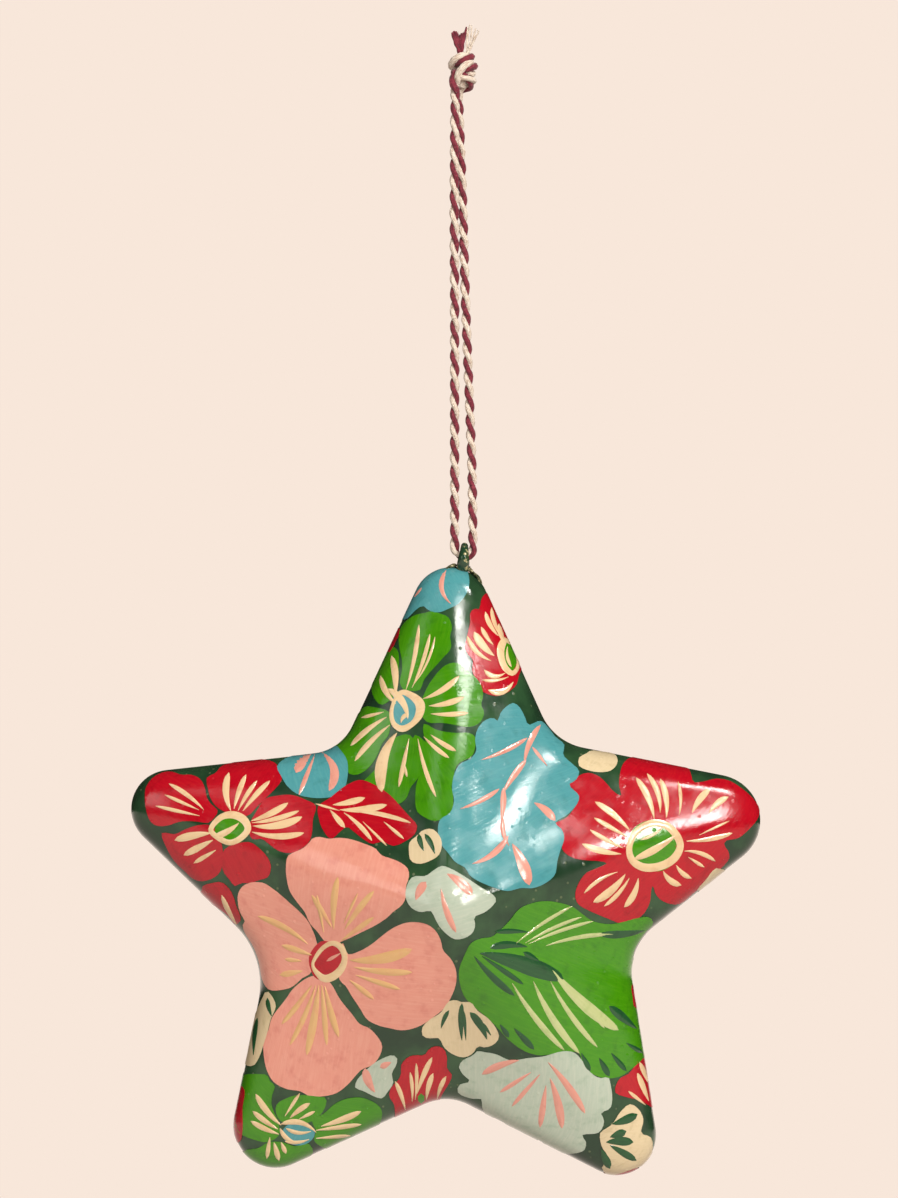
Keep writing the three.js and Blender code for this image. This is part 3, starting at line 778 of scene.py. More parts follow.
def star_surface():
    """The painted surface as a grid of rings, from the front's middle over the rim to the back's."""
    tilt = np.linspace(0, math.pi, RINGS + 1)
    front = tilt[1 : RINGS // 2]
    plan = OUTLINE[None] * np.sin(front)[:, None, None]
    deepest = eased_depth(np.zeros((1, 2)))[0]
    flat = plan.reshape(-1, 2)
    share = eased_depth(flat) / deepest
    rim = RIM_SHARE * np.sqrt(1 - np.exp(-2 * share / RIM_DEPTH))
    reach = np.hypot(np.linalg.norm(flat, axis=1), MIDDLE_ROUND) - MIDDLE_ROUND
    thinner = 1 - ARM_TAPER * reach / ARM_REACH
    height = CROWN * (rim + (1 - RIM_SHARE) * share) * (thinner - GROOVE_SHARE * groove_at(flat))
    height = height.reshape(plan.shape[:2])
    grid = np.zeros((RINGS + 1, AROUND, 3))
    grid[..., 0] = OUTLINE[None, :, 0] * np.sin(tilt)[:, None] + MIDDLE[0]
    grid[..., 2] = OUTLINE[None, :, 1] * np.sin(tilt)[:, None] + MIDDLE[1]
    grid[0, :, 1], grid[RINGS, :, 1] = -CROWN, CROWN
    grid[1 : RINGS // 2, :, 1] = -height
    grid[RINGS // 2 + 1 : RINGS, :, 1] = height[::-1]
    # The hand-made skin swells and dips a little.
    x, z = grid[..., 0], grid[..., 2]
    swell = np.sin(x / 5.3) * np.sin(z / 6.1 + 0.7) + 0.6 * np.sin(x / 3.1 - z / 4.3)
    grid[..., 1] += SWELL * swell * np.sin(tilt)[:, None] * np.cos(tilt)[:, None]
    return grid


SURFACE = star_surface()


def surface_normals():
    """Unit normals of the painted surface, outwards."""
    round_ = np.roll(SURFACE, -1, axis=1) - np.roll(SURFACE, 1, axis=1)
    down = np.gradient(SURFACE, axis=0)
    normals = np.cross(down, round_)
    normals[0], normals[-1] = (0, -1, 0), (0, 1, 0)
    normals /= np.linalg.norm(normals, axis=2)[..., None]
    if normals[RINGS // 4, :, 1].mean() >= 0:
        normals[1:-1] *= -1
    return normals


NORMALS = surface_normals()
BEARING = np.unwrap(np.arctan2(OUTLINE[:, 1], OUTLINE[:, 0]))
BEARINGS = np.concatenate([BEARING - 2 * math.pi, BEARING, BEARING + 2 * math.pi])
PLACES = np.arange(-AROUND, 2 * AROUND, dtype=float)
REACHES = np.tile(np.linalg.norm(OUTLINE, axis=1), 3)


def reach_at(bearing):
    """How far the outline lies from the star's middle."""
    return np.interp(bearing, BEARINGS, REACHES)


def on_surface(bearing, tilt):
    """Points and normals of the painted surface, by bearing round the star and tilt from its front."""
    place = np.interp(bearing, BEARINGS, PLACES)
    row = np.clip(tilt / math.pi * RINGS, 0, RINGS - 1e-6)
    i, j = row.astype(int), np.floor(place).astype(int)
    u, v = (row - i)[:, None], (place - j)[:, None]
    j0, j1 = j % AROUND, (j + 1) % AROUND

    def blended(grid):
        low = grid[i, j0] * (1 - v) + grid[i, j1] * v
        high = grid[i + 1, j0] * (1 - v) + grid[i + 1, j1] * v
        return low * (1 - u) + high * u

    normal = blended(NORMALS)
    return blended(SURFACE), normal / np.linalg.norm(normal, axis=1)[:, None]


def painted_skin():
    """The two halves' painted outside, drawn ring by ring over the rim and closed at both middles."""
    bm = bmesh.new()
    sweep(bm, list(SURFACE[1:RINGS]), capped=False)
    for row in (0, RINGS):
        near = SURFACE[1 if row == 0 else RINGS - 1]
        front = near[0, 1] < 0
        open_edges = [e for e in bm.edges if e.is_boundary and (e.verts[0].co.y < 0) == front]
        cap = bmesh.ops.contextual_create(bm, geom=open_edges)["faces"]
        middle = bmesh.ops.poke(bm, faces=cap)["verts"][0]
        middle.co = SURFACE[row, 0]
    bmesh.ops.recalc_face_normals(bm, faces=bm.faces)
    return finished("painted_skin", bm, [MATERIALS["ground"]])


skin = painted_skin()
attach(skin, "star")
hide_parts("front_shell", "back_shell", "seam_glue")


# Paint films. Heights and depths are above and below the painted surface.
SIGHT_ROUNDS = 5
CUT = 0.85  # between the cuts that let a film follow the surface
FILM_EDGE = 0.03
FILM_TOP = 0.075
FILM_DEPTH = 0.05
SOFT_EDGE = 0.2
PART_SHIFT = 3.7  # keeps two shapes from showing the same streaks
PATCH_STEP = 4.2  # pixels
RING_STEP = 2.2  # pixels
TOUCH_FULLEST = 0.4
TOUCH_FINEST = 0.5  # pixels
# Height of a touch and of a ring, by share of the width from the middle.
TOUCH = [(-0.5, FILM_EDGE), (-0.26, FILM_TOP), (0.0, FILM_TOP + 0.025), (0.26, FILM_TOP), (0.5, FILM_EDGE)]
RING = [(-0.5, FILM_EDGE), (-0.28, FILM_TOP), (0.0, FILM_TOP + 0.02), (0.28, FILM_TOP), (0.5, FILM_EDGE)]
BACK_TURN = math.radians(144)
BACK_SHARE = 0.92  # how far out the back's flowers lie, as a share of the front's
BACK_FREE = 1.2  # the front's tilt past which the back's flowers are drawn in
BACK_SQUEEZE = 0.4
BACK_THIN = 0.4  # what is left of the back's film where the front's lies over it
BACK_THIN_TILT = 1.75
BACK_THIN_EASE = 0.3


def drawn_on_star(pixels):
    """Bearing and tilt of drawn points, as the camera sees them on the star's crowned front.

    Each round moves them towards the middle of the picture by the height found in the round before.
    """
    pixels = np.asarray(pixels, float)
    flat = np.column_stack(from_photo(pixels[:, 0], pixels[:, 1]))
    optical = np.array([CAMERA_AT[0], CAMERA_AT[2]])
    distance = -CAMERA_AT[1]
    plan = flat
    for _ in range(SIGHT_ROUNDS):
        bearing = np.arctan2(plan[:, 1] - MIDDLE[1], plan[:, 0] - MIDDLE[0])
        share = np.linalg.norm(plan - MIDDLE, axis=1) / reach_at(bearing)
        inside = share < 1
        front, over = np.arcsin(np.minimum(share, 1)), math.pi - np.arcsin(np.clip(2 - share, 0, 1))
        tilt = np.where(inside, front, over)
        height = np.where(inside, -on_surface(bearing, tilt)[0][:, 1], 0)
        plan = optical + (flat - optical) * ((distance - height) / distance)[:, None]
    return bearing, tilt


def to_chart(bearing, tilt):
    """The surface unrolled flat about the star's middle."""
    far = tilt * reach_at(bearing)
    return np.column_stack([far * np.cos(bearing), far * np.sin(bearing)])


def from_chart(chart):
    """Bearing and tilt of points in the chart."""
    bearing = np.arctan2(chart[:, 1], chart[:, 0])
    return bearing, np.linalg.norm(chart, axis=1) / reach_at(bearing)


def to_back(bearing, tilt):
    """The same place on the back, two arms round and drawn in towards the rim."""
    turned = math.pi - bearing + BACK_TURN
    turned = (turned + math.pi) % (2 * math.pi) - math.pi
    near = np.minimum(tilt, BACK_FREE)
    over = BACK_SQUEEZE * (1 - np.exp((near - tilt) * BACK_SHARE / BACK_SQUEEZE))
    return turned, math.pi - BACK_SHARE * near - over


class Film:
    """Paint shapes of one flower, laid flat in the chart and then on the star."""

    def __init__(self):
        self.bm = bmesh.new()
        self.lift = self.bm.verts.layers.float.new("lift")
        self.place = self.bm.verts.layers.int.new("place")
        self.part = self.bm.faces.layers.int.new("part")
        self.whole = self.bm.faces.layers.int.new("whole")
        self.lays = []
        self.slots = []

    def slot(self, colour):
        """The film's material slot for a colour."""
        if colour not in self.slots:
            self.slots.append(colour)
        return self.slots.index(colour)

    def mark(self, faces, colour, root, heading):
        """Gives faces their colour and the lay of the brush, from the root along the heading."""
        self.lays.append((np.array(root), np.array(heading)))
        for face in faces:
            face.material_index = self.slot(colour)
            face[self.part] = len(self.lays) - 1

    def patch(self, outline, colour, root, level):
        """A flat shape with a soft edge, from a closed row of drawn points."""
        drawn = smooth_route(outline, PATCH_STEP, True)
        chart = to_chart(*drawn_on_star(drawn))
        centre = chart.mean(axis=0)
        start = to_chart(*drawn_on_star([root]))[0]
        heading = centre - start
        heading /= max(np.linalg.norm(heading), 1e-6)
        old = set(self.bm.faces)
        verts = [self.bm.verts.new((p[0], p[1], 0)) for p in chart]
        for v in verts:
            v[self.lift] = FILM_EDGE + level
        face = self.bm.faces.new(verts)
        face.normal_update()
        if face.normal.z < 0:
            face.normal_flip()
        bmesh.ops.inset_region(self.bm, faces=[face], thickness=SOFT_EDGE, use_even_offset=False)
        for v in face.verts:
            v[self.lift] = FILM_TOP + level
        face[self.whole] = 1
        new = [f for f in self.bm.faces if f not in old]
        self.mark(new, colour, start, heading)

    def ring(self, drawn, colour, level):
        """A painted ring of uneven width, from a closed row of points with the width at each."""
        row = smooth_route(drawn, RING_STEP, True)
        spine, wide = row[:, :2], row[:, 2:3]
        headings = np.roll(spine, -1, axis=0) - np.roll(spine, 1, axis=0)
        self.brushed(spine, headings, wide, RING, level, colour, True)

    def line(self, start, end, width, colour, bend, level):
        """One touch of the brush, fullest part way along and drawn out to a point."""
        a, b = np.array(start, float), np.array(end, float)
        way = b - a
        length = np.linalg.norm(way)
        side = np.array([-way[1], way[0]]) / length
        t = np.linspace(0, 1, max(7, int(length / 4) + 3))[:, None]
        spine = a + way * t + side * (4 * bend * t * (1 - t))
        rise = np.clip(t / TOUCH_FULLEST, 0, 1)
        fall = np.clip((1 - t) / (1 - TOUCH_FULLEST), 0, 1)
        rising = np.sqrt(np.maximum(1 - (1 - rise) ** 2, 0))
        wide = width * np.where(t < TOUCH_FULLEST, rising, fall**0.7 * (2 - fall) ** 0.3)
        wide = np.maximum(wide, TOUCH_FINEST)
        self.brushed(spine, np.gradient(spine, axis=0), wide, TOUCH, level, colour, False)

    def brushed(self, spine, headings, wide, profile, level, colour, whole):
        """Paint along a spine, as high as the profile says across its width."""
        headings = headings / np.linalg.norm(headings, axis=1)[:, None]
        across = np.column_stack([-headings[:, 1], headings[:, 0]])
        sections = []
        for share, lift in profile:
            sections.append((to_chart(*drawn_on_star(spine + across * wide * share)), lift + level))
        self.strips(sections, colour, whole)

    def strips(self, sections, colour, whole):
        """Draws a row of points sideways through the given sections, closed on itself or open."""
        bm = self.bm
        first, lift = sections[0]
        row = [bm.verts.new((p[0], p[1], 0)) for p in first]
        edges = [bm.edges.new(pair) for pair in zip(row, row[1:] + row[:1])]
        if not whole:
            bm.edges.remove(edges.pop())
        for k, v in enumerate(row):
            v[self.lift] = lift
            v[self.place] = k
        faces = []
        for chart, lift in sections[1:]:
            made = bmesh.ops.extrude_edge_only(bm, edges=edges)["geom"]
            edges = [g for g in made if isinstance(g, bmesh.types.BMEdge)]
            faces += [g for g in made if isinstance(g, bmesh.types.BMFace)]
            for v in (g for g in made if isinstance(g, bmesh.types.BMVert)):
                v.co = (*chart[v[self.place]], 0)
                v[self.lift] = lift
            edges = [e for e in edges if e.is_boundary and self.lies_at(e, lift)]
            edges = [e for e in edges if self.neighbours(e, len(first), whole)]
        bmesh.ops.recalc_face_normals(bm, faces=faces)
        if sum(f.normal.z * f.calc_area() for f in faces) < 0:
            bmesh.ops.reverse_faces(bm, faces=faces)
        middle = sections[len(sections) // 2][0]
        way = np.array([1.0, 0.0]) if whole else middle[-1] - middle[0]
        self.mark(faces, colour, middle[0], way / max(np.linalg.norm(way), 1e-6))

    def lies_at(self, edge, lift):
        return all(abs(v[self.lift] - lift) < 1e-5 for v in edge.verts)

    def neighbours(self, edge, count, whole):
        """Whether an edge runs along the row, and not across it."""
        gap = abs(edge.verts[0][self.place] - edge.verts[1][self.place])
        return gap == 1 or (whole and gap == count - 1)

    def cut(self):
        """Cuts the flat shapes small enough to follow the star."""
        bm = self.bm
        co = np.array([v.co[:2] for v in bm.verts])
        for axis, facing in ((0, (1, 0, 0)), (1, (0, 1, 0))):
            low, high = co[:, axis].min(), co[:, axis].max()
            for stop in np.arange(low + CUT / 2, high, CUT):
                big = []
                for face in bm.faces:
                    at = [v.co[axis] for v in face.verts]
                    if face[self.whole] and min(at) < stop < max(at):
                        big.append(face)
                corners = [v for f in big for v in f.verts]
                sides = [e for f in big for e in f.edges]
                near = each_once(corners + sides + big)
                plane = (stop, 0, 0) if axis == 0 else (0, stop, 0)
                bmesh.ops.bisect_plane(bm, geom=near, dist=1e-5, plane_co=plane, plane_no=facing)
        bmesh.ops.triangulate(bm, faces=[f for f in bm.faces if len(f.verts) > 4])
        uv = bm.loops.layers.uv.new("lay")
        for face in bm.faces:
            root, heading = self.lays[face[self.part]]
            side = np.array([-heading[1], heading[0]])
            for l in face.loops:
                gap = np.array(l.vert.co[:2]) - root
                l[uv].uv = (float(gap @ side) + PART_SHIFT * face[self.part], float(gap @ heading))

    def lay(self, name, back=False):
        """Wraps the cut shapes on the star and gives them their thickness."""
        bm = self.bm.copy()
        lift = bm.verts.layers.float["lift"]
        bearing, tilt = from_chart(np.array([v.co[:2] for v in bm.verts]))
        if back:
            bearing, tilt = to_back(bearing, tilt)
        points, normals = on_surface(bearing, tilt)
        # The front was painted last, so its paint lies over the back's where they meet at the rim.
        thick = np.ones(len(tilt))
        if back:
            thick = np.clip((tilt - BACK_THIN_TILT) / BACK_THIN_EASE, BACK_THIN, 1)
        row = bm.verts.layers.int.new("row")
        for k, v in enumerate(bm.verts):
            v[row] = k
            v[lift] *= thick[k]
        under = list(bm.faces)
        made = bmesh.ops.extrude_face_region(bm, geom=under, use_keep_orig=True)["geom"]
        bmesh.ops.reverse_faces(bm, faces=under)
        for v in bm.verts:
            v.co = points[v[row]] + normals[v[row]] * (v[lift] - FILM_DEPTH)
        for v in (g for g in made if isinstance(g, bmesh.types.BMVert)):
            v.co = points[v[row]] + normals[v[row]] * v[lift]
        piece = finished(name, bm, [MATERIALS[colour] for colour in self.slots])
        piece.data.set_sharp_from_angle(angle=math.radians(50))
        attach(piece, "star")


# Flowers. Each is a name, the point its petals grow from, its patches as a colour and an outline,
# its touches of the brush as a colour and rows of (from x, from y, to x, to y, width, bend), and
# its rings as rows of (x, y, width). All of it is in pixels.
FLOWERS = [
    ("cap_blue", (452, 614), [
        ("blue", [
            (440, 566), (448, 566), (458, 567), (462, 566), (465, 567), (468, 574), (469, 585), (466, 594),
            (458, 604), (448, 609), (441, 612), (433, 612), (427, 609), (423, 606), (416, 610), (410, 616),
            (405, 620), (399, 616), (402, 602), (410, 590), (421, 578), (431, 569),
        ]),
    ], [
        ("pink_line", [(446, 571, 451, 604, 5, 7), (422, 588, 415, 597, 2.4, 0)]),
    ], []),
    ("green_flower", (407.5, 712), [
        ("green", [
            (425, 613), (433, 611), (441, 614), (448, 617), (452, 627), (450, 636), (451, 648), (442, 659),
            (433, 669), (424, 680), (420, 690), (412, 691), (404, 690), (400, 683), (402, 671), (402, 660),
            (400, 650), (399, 639), (401, 628), (409, 619), (416, 615),
        ]),
        ("green", [
            (394, 647), (398, 651), (399, 663), (398, 680), (396, 693), (388, 702), (381, 705), (375, 699),
            (372, 691), (373, 680), (379, 668), (386, 654),
        ]),
        ("green", [
            (427, 688), (430, 683), (439, 671), (448, 664), (458, 663), (465, 669), (474, 676), (481, 685),
            (483, 696), (481, 705), (484, 712), (481, 721), (474, 726), (465, 727), (455, 725), (443, 723),
            (427, 722), (420, 710),
        ]),
        ("green", [
            (424, 724), (437, 730), (455, 733), (469, 733), (475, 737), (475, 747), (472, 756), (467, 759),
            (458, 764), (454, 773), (454, 789), (449, 783), (440, 771), (432, 754), (425, 740),
        ]),
        ("green", [
            (415, 735), (428, 745), (434, 757), (441, 771), (450, 784), (453, 794), (451, 814), (443, 819),
            (434, 821), (424, 817), (417, 811), (416, 787), (419, 773), (412, 755),
        ]),
        ("green", [
            (410, 735), (417, 752), (419, 776), (411, 787), (406, 799), (399, 804), (391, 805), (383, 799),
            (382, 790), (380, 765), (392, 740),
        ]),
        ("green", [
            (390, 737), (378, 766), (370, 775), (362, 784), (365, 789), (373, 794), (381, 794), (380, 784),
            (384, 766),
        ]),
        ("green", [
            (389, 712), (382, 709), (372, 707), (365, 707), (350, 727), (336, 744), (336, 752), (347, 763),
            (348, 773), (356, 775), (365, 771), (372, 764), (378, 754), (382, 744), (389, 734),
        ]),
        ("red", [(393, 626), (400, 629), (395, 643), (388, 654), (381, 650), (386, 638)]),
        ("blue", [
            (396, 693), (405, 690), (417, 699), (420, 712), (414, 724), (403, 729), (393, 722), (391, 706),
        ]),
    ], [
        ("cream_line", [
            (419, 625, 406, 690, 4.5, -2), (430, 634, 412, 688, 4, -2), (435, 637, 415, 683, 2.6, -3),
            (392, 656, 395, 696, 7, -2), (381, 676, 396, 704, 6, 3), (459, 676, 423, 699, 6, -3),
            (464, 697, 429, 706, 6, -2), (468, 713, 431, 714, 5, -1), (456, 751, 431, 735, 5, -1),
            (449, 758, 424, 737, 4.5, -1), (436, 797, 418, 739, 4.5, -2), (382, 792, 397, 733, 12, -7),
            (399, 787, 409, 739, 4.5, 0), (407, 777, 404, 763, 3, 0), (362, 718, 384, 712, 3.4, 0),
            (351, 746, 387, 717, 5.4, -2), (355, 761, 390, 725, 5.4, -2), (388, 689, 408, 719, 7.5, -5),
            (409, 714, 401, 723, 4.4, 2),
        ]),
    ], [
        [
            (402, 692.5, 5), (412, 696, 7), (420, 704, 9.5), (419.5, 714, 8), (413, 723.5, 5.5),
            (402, 729, 6.5), (394, 724, 5), (391.5, 713, 4), (395, 700, 3.5),
        ],
    ]),
    ("red_flower_top", (508, 660), [
        ("red", [
            (485, 594), (492, 597), (500, 608), (507, 621), (516, 640), (524, 655), (524, 664), (519, 674),
            (516, 685), (508, 692), (499, 696), (490, 695), (482, 691), (476, 680), (472, 670), (473, 660),
            (470, 657), (465, 648), (467, 636), (470, 622), (470, 614), (473, 609), (479, 609), (481, 600),
        ]),
        ("green", [
            (506, 641), (512, 647), (516, 656), (515, 667), (510, 672), (504, 665), (502, 654), (503, 646),
        ]),
    ], [
        ("cream_line", [
            (474, 632, 494, 656, 8, 2), (467, 636, 491, 661, 5, 4), (481, 627, 493, 645, 4.4, 1),
            (485, 612, 498, 636, 4.6, 2), (491, 608, 501, 637, 4, 2), (498, 624, 505, 645, 5, 1),
            (484, 670, 505, 673, 5, 5), (482, 680, 508, 677, 3.4, 2), (488, 690, 513, 682, 6.5, 6),
            (511, 667, 507, 647, 3.2, -2),
        ]),
    ], [
        [
            (505, 640, 6), (500.5, 648, 7.5), (501, 658, 6.5), (505, 668, 6), (512, 673.5, 5),
            (517, 668, 3.5), (516.5, 656, 2.6), (511.5, 645, 3),
        ],
    ]),
    ("blue_leaf", (500, 800), [
        ("blue", [
            (513, 703), (519, 707), (525, 718), (528, 725), (540, 721), (548, 728), (555, 737), (564, 745),
            (563, 755), (571, 763), (579, 771), (576, 780), (569, 785), (579, 796), (577, 804), (567, 815),
            (555, 823), (562, 830), (564, 839), (560, 851), (557, 862), (555, 874), (547, 882), (533, 888),
            (521, 888), (507, 891), (495, 888), (482, 883), (470, 876), (465, 868), (455, 862), (448, 853),
            (441, 844), (438, 832), (440, 820), (450, 813), (454, 801), (452, 789), (454, 775), (460, 764),
            (470, 759), (476, 751), (475, 740), (477, 730), (484, 721), (493, 718), (497, 721), (501, 712),
            (507, 706),
        ]),
    ], [
        ("pink_line", [
            (540, 725, 524, 764, 6, 3), (526, 760, 502, 794, 6.4, 1), (503, 788, 501, 822, 6, -1),
            (508, 836, 472, 864, 6.5, -5), (527, 738, 481, 760, 5, -2), (499, 789, 460, 809, 5, -2),
            (532, 747, 547, 766, 3.4, 0), (555, 821, 534, 803, 8, 2), (529, 885, 512, 844, 12, 2),
            (503, 818, 509, 846, 5, 3),
        ]),
    ], []),
    ("cream_dot", (598, 762), [
        ("cream", [
            (579, 758), (586, 754), (591, 751), (601, 752), (613, 754), (617, 758), (617, 764), (612, 770),
            (606, 772), (595, 772), (584, 769), (579, 766),
        ]),
    ], [], []),
    ("red_flower_right", (654, 845), [
        ("red", [
            (630, 758), (647, 759), (667, 763), (687, 768), (691, 775), (693, 782), (702, 782), (716, 779),
            (729, 781), (742, 789), (753, 799), (759, 810), (757, 819), (748, 830), (738, 838), (725, 841),
            (724, 845), (728, 851), (729, 858), (724, 865), (709, 879), (693, 893), (681, 903), (672, 904),
            (661, 900), (655, 893), (653, 885), (651, 890), (650, 901), (644, 913), (635, 920), (620, 923),
            (609, 919), (590, 911), (578, 904), (575, 896), (578, 884), (586, 873), (597, 868), (607, 863),
            (598, 861), (583, 860), (571, 857), (562, 849), (564, 836), (560, 829), (555, 824), (566, 818),
            (575, 807), (579, 799), (575, 791), (569, 785), (577, 777), (587, 773), (598, 776), (606, 783),
            (613, 791), (621, 796), (619, 785), (620, 773), (623, 764),
        ]),
        ("green", [
            (654, 820), (668, 824), (679, 836), (681, 850), (674, 863), (660, 871), (644, 869), (631, 861),
            (627, 847), (631, 832), (641, 823),
        ]),
        ("cream", [(716, 868), (724, 872), (716, 882), (702, 893), (696, 892), (706, 879)]),
    ], [
        ("cream_line", [
            (595, 802, 630, 831, 6.4, -2), (594, 818, 627, 837, 4.6, 0), (590, 830, 623, 848, 4.4, 1),
            (582, 844, 621, 854, 6.4, 2), (636, 778, 654, 819, 6.5, -3), (647, 774, 660, 813, 5.4, -4),
            (660, 779, 666, 818, 6, -3), (678, 782, 679, 815, 3.4, -2), (710, 789, 692, 813, 7, 2),
            (728, 797, 709, 813, 6.4, 2), (729, 821, 699, 835, 2.4, 0), (732, 833, 686, 841, 5, -2),
            (715, 861, 684, 851, 4.4, 3), (704, 867, 688, 857, 3.4, 0), (691, 878, 676, 865, 5, -2),
            (681, 885, 663, 871, 6.4, -3), (584, 893, 617, 872, 3.6, -3), (593, 902, 625, 874, 8, 3),
            (604, 906, 629, 878, 4.4, 2), (624, 907, 638, 878, 6.4, 3), (634, 859, 677, 834, 7.5, 2),
            (640, 840, 664, 826, 3, 2),
        ]),
    ], [
        [
            (651, 823.5, 7), (665, 825, 7), (676, 835, 7.5), (680, 846, 7), (674, 858, 8), (660, 866, 8),
            (643, 867, 8), (632, 860, 7), (629, 848, 6), (636, 832, 6),
        ],
    ]),
    ("red_flower_left", (231, 831), [
        ("red", [
            (145, 798), (146, 788), (152, 779), (162, 773), (172, 772), (181, 775), (191, 775), (200, 779),
            (205, 788), (207, 798), (212, 805), (218, 811), (213, 819), (208, 823), (200, 822), (189, 821),
            (178, 822), (170, 825), (159, 826), (152, 823), (147, 813),
        ]),
        ("red", [
            (207, 778), (216, 773), (221, 767), (232, 763), (247, 761), (265, 760), (276, 764), (279, 770),
            (282, 779), (276, 788), (266, 798), (257, 807), (247, 816), (221, 810), (212, 801), (208, 789),
        ]),
        ("red", [
            (258, 809), (265, 799), (276, 796), (291, 795), (306, 800), (316, 806), (313, 819), (312, 833),
            (309, 842), (301, 849), (291, 853), (279, 851), (269, 844), (262, 839), (252, 839), (249, 827),
        ]),
        ("red", [
            (249, 842), (259, 848), (268, 858), (271, 867), (268, 877), (259, 880), (250, 883), (241, 883),
            (235, 886), (230, 880), (223, 870), (224, 850),
        ]),
        ("red", [
            (162, 833), (175, 834), (186, 829), (199, 825), (212, 826), (222, 845), (221, 870), (215, 877),
            (203, 881), (194, 879), (186, 872), (174, 860), (167, 848),
        ]),
        ("green", [
            (231, 817), (243, 821), (247, 831), (241, 842), (229, 844), (217, 840), (215, 829), (221, 820),
        ]),
    ], [
        ("cream_line", [
            (229, 773, 231, 811, 7, 4), (246, 775, 234, 809, 5.4, 1), (257, 781, 238, 811, 4.4, 1),
            (270, 781, 243, 811, 5.4, 1), (288, 803, 251, 821, 6.4, -2), (299, 811, 252, 823, 5, -2),
            (302, 817, 253, 826, 8, -4), (304, 833, 252, 832, 6.4, -4), (169, 784, 204, 810, 4.6, -2),
            (165, 795, 199, 810, 3.4, 0), (156, 806, 200, 816, 3.6, 0), (175, 840, 211, 833, 8, -1),
            (184, 855, 213, 840, 7, 0), (194, 863, 216, 850, 4.4, 0), (213, 837, 239, 823, 6.4, 2),
        ]),
    ], [
        [
            (221, 817.5, 6), (233, 815, 7.5), (244, 820, 8), (248, 829, 6.5), (241, 838, 6),
            (230, 842.5, 5.5), (219, 838, 5.5), (211, 830, 5),
        ],
    ]),
    ("small_blue", (315, 750), [
        ("blue", [
            (277, 767), (281, 762), (290, 757), (306, 754), (323, 747), (336, 746), (342, 752), (347, 760),
            (348, 773), (345, 787), (338, 795), (326, 798), (313, 798), (299, 795), (288, 787), (281, 776),
        ]),
    ], [
        ("pink_line", [
            (296, 773, 311, 755, 10, -2), (299, 795, 315, 755, 4.6, 0), (329, 791, 322, 753, 9, 9),
        ]),
    ], []),
    ("red_leaf", (330, 811), [
        ("red", [
            (318, 807), (330, 798), (347, 785), (361, 780), (375, 785), (390, 795), (403, 809), (411, 818),
            (417, 825), (415, 834), (406, 841), (394, 846), (382, 842), (372, 844), (363, 839), (354, 832),
            (347, 827), (340, 832), (331, 839), (322, 828), (319, 819),
        ]),
    ], [
        ("cream_line", [
            (365, 798, 333, 805, 6.4, -1), (387, 805, 340, 810, 7, -2), (411, 823, 340, 810, 4.6, 3),
            (372, 841, 344, 813, 4.6, 2), (387, 846, 363, 822, 2.6, 0), (404, 839, 384, 822, 3.4, 0),
            (345, 828, 330, 810, 5.4, 0), (316, 804, 340, 811, 2.4, 0),
        ]),
    ], []),
    ("cream_bud", (426, 866), [
        ("cream", [
            (409, 851), (410, 842), (417, 836), (422, 831), (432, 829), (439, 835), (442, 844), (439, 855),
            (430, 861), (420, 864), (411, 861),
        ]),
    ], [
        ("dark_line", [(419, 834, 424, 851, 5.4, 1), (425, 834, 435, 854, 5.4, -1)]),
    ], []),
    ("pink_flower", (330, 962), [
        ("pink", [
            (312, 839), (318, 837), (330, 839), (336, 838), (349, 839), (362, 843), (376, 849), (381, 855),
            (392, 859), (401, 863), (408, 869), (409, 877), (406, 887), (406, 897), (402, 905), (393, 912),
            (388, 917), (376, 925), (362, 932), (345, 940), (330, 945), (317, 931), (310, 923), (305, 912),
            (298, 903), (290, 891), (287, 879), (286, 868), (288, 856), (295, 852), (302, 849), (309, 843),
        ]),
        ("pink", [
            (246, 884), (254, 882), (264, 883), (272, 888), (281, 895), (290, 903), (300, 912), (308, 921),
            (313, 931), (316, 939), (318, 955), (309, 975), (304, 977), (292, 987), (281, 990), (270, 990),
            (265, 985), (262, 977), (260, 965), (258, 957), (253, 945), (245, 932), (243, 925), (245, 921),
            (240, 912), (238, 901), (238, 895), (241, 888),
        ]),
        ("pink", [
            (343, 943), (348, 954), (360, 951), (372, 944), (382, 936), (393, 928), (405, 923), (413, 922),
            (426, 924), (435, 930), (441, 941), (443, 950), (451, 959), (456, 970), (456, 983), (452, 995),
            (444, 1008), (433, 1017), (419, 1026), (403, 1030), (390, 1028), (378, 1025), (367, 1019),
            (360, 1008), (352, 996), (346, 986), (340, 980), (338, 962),
        ]),
        ("pink", [
            (312, 976), (294, 988), (286, 999), (272, 1018), (269, 1029), (264, 1041), (264, 1055),
            (267, 1070), (274, 1082), (287, 1089), (300, 1091), (310, 1096), (323, 1096), (336, 1093),
            (347, 1085), (356, 1075), (362, 1069), (372, 1065), (380, 1055), (382, 1045), (377, 1036),
            (369, 1028), (360, 1024), (352, 1014), (340, 999), (332, 985), (325, 978),
        ]),
        ("red", [
            (333, 943), (343, 950), (344, 960), (338, 970), (328, 978), (317, 979), (311, 970), (309, 958),
            (313, 949), (322, 941),
        ]),
    ], [
        ("butter_line", [
            (338, 877, 334, 929, 7, 2), (317, 895, 324, 932, 3.6, 0), (312, 895, 332, 927, 5.4, 0),
            (374, 891, 345, 929, 6.4, 1), (358, 893, 344, 923, 2.8, 0), (374, 917, 341, 941, 5.4, 0),
            (258, 916, 308, 944, 6.4, -3), (282, 945, 312, 955, 6, 0), (285, 959, 302, 961, 4.4, 0),
            (280, 975, 303, 971, 6.4, 0), (412, 949, 350, 960, 11, -4), (412, 972, 354, 967, 7, -2),
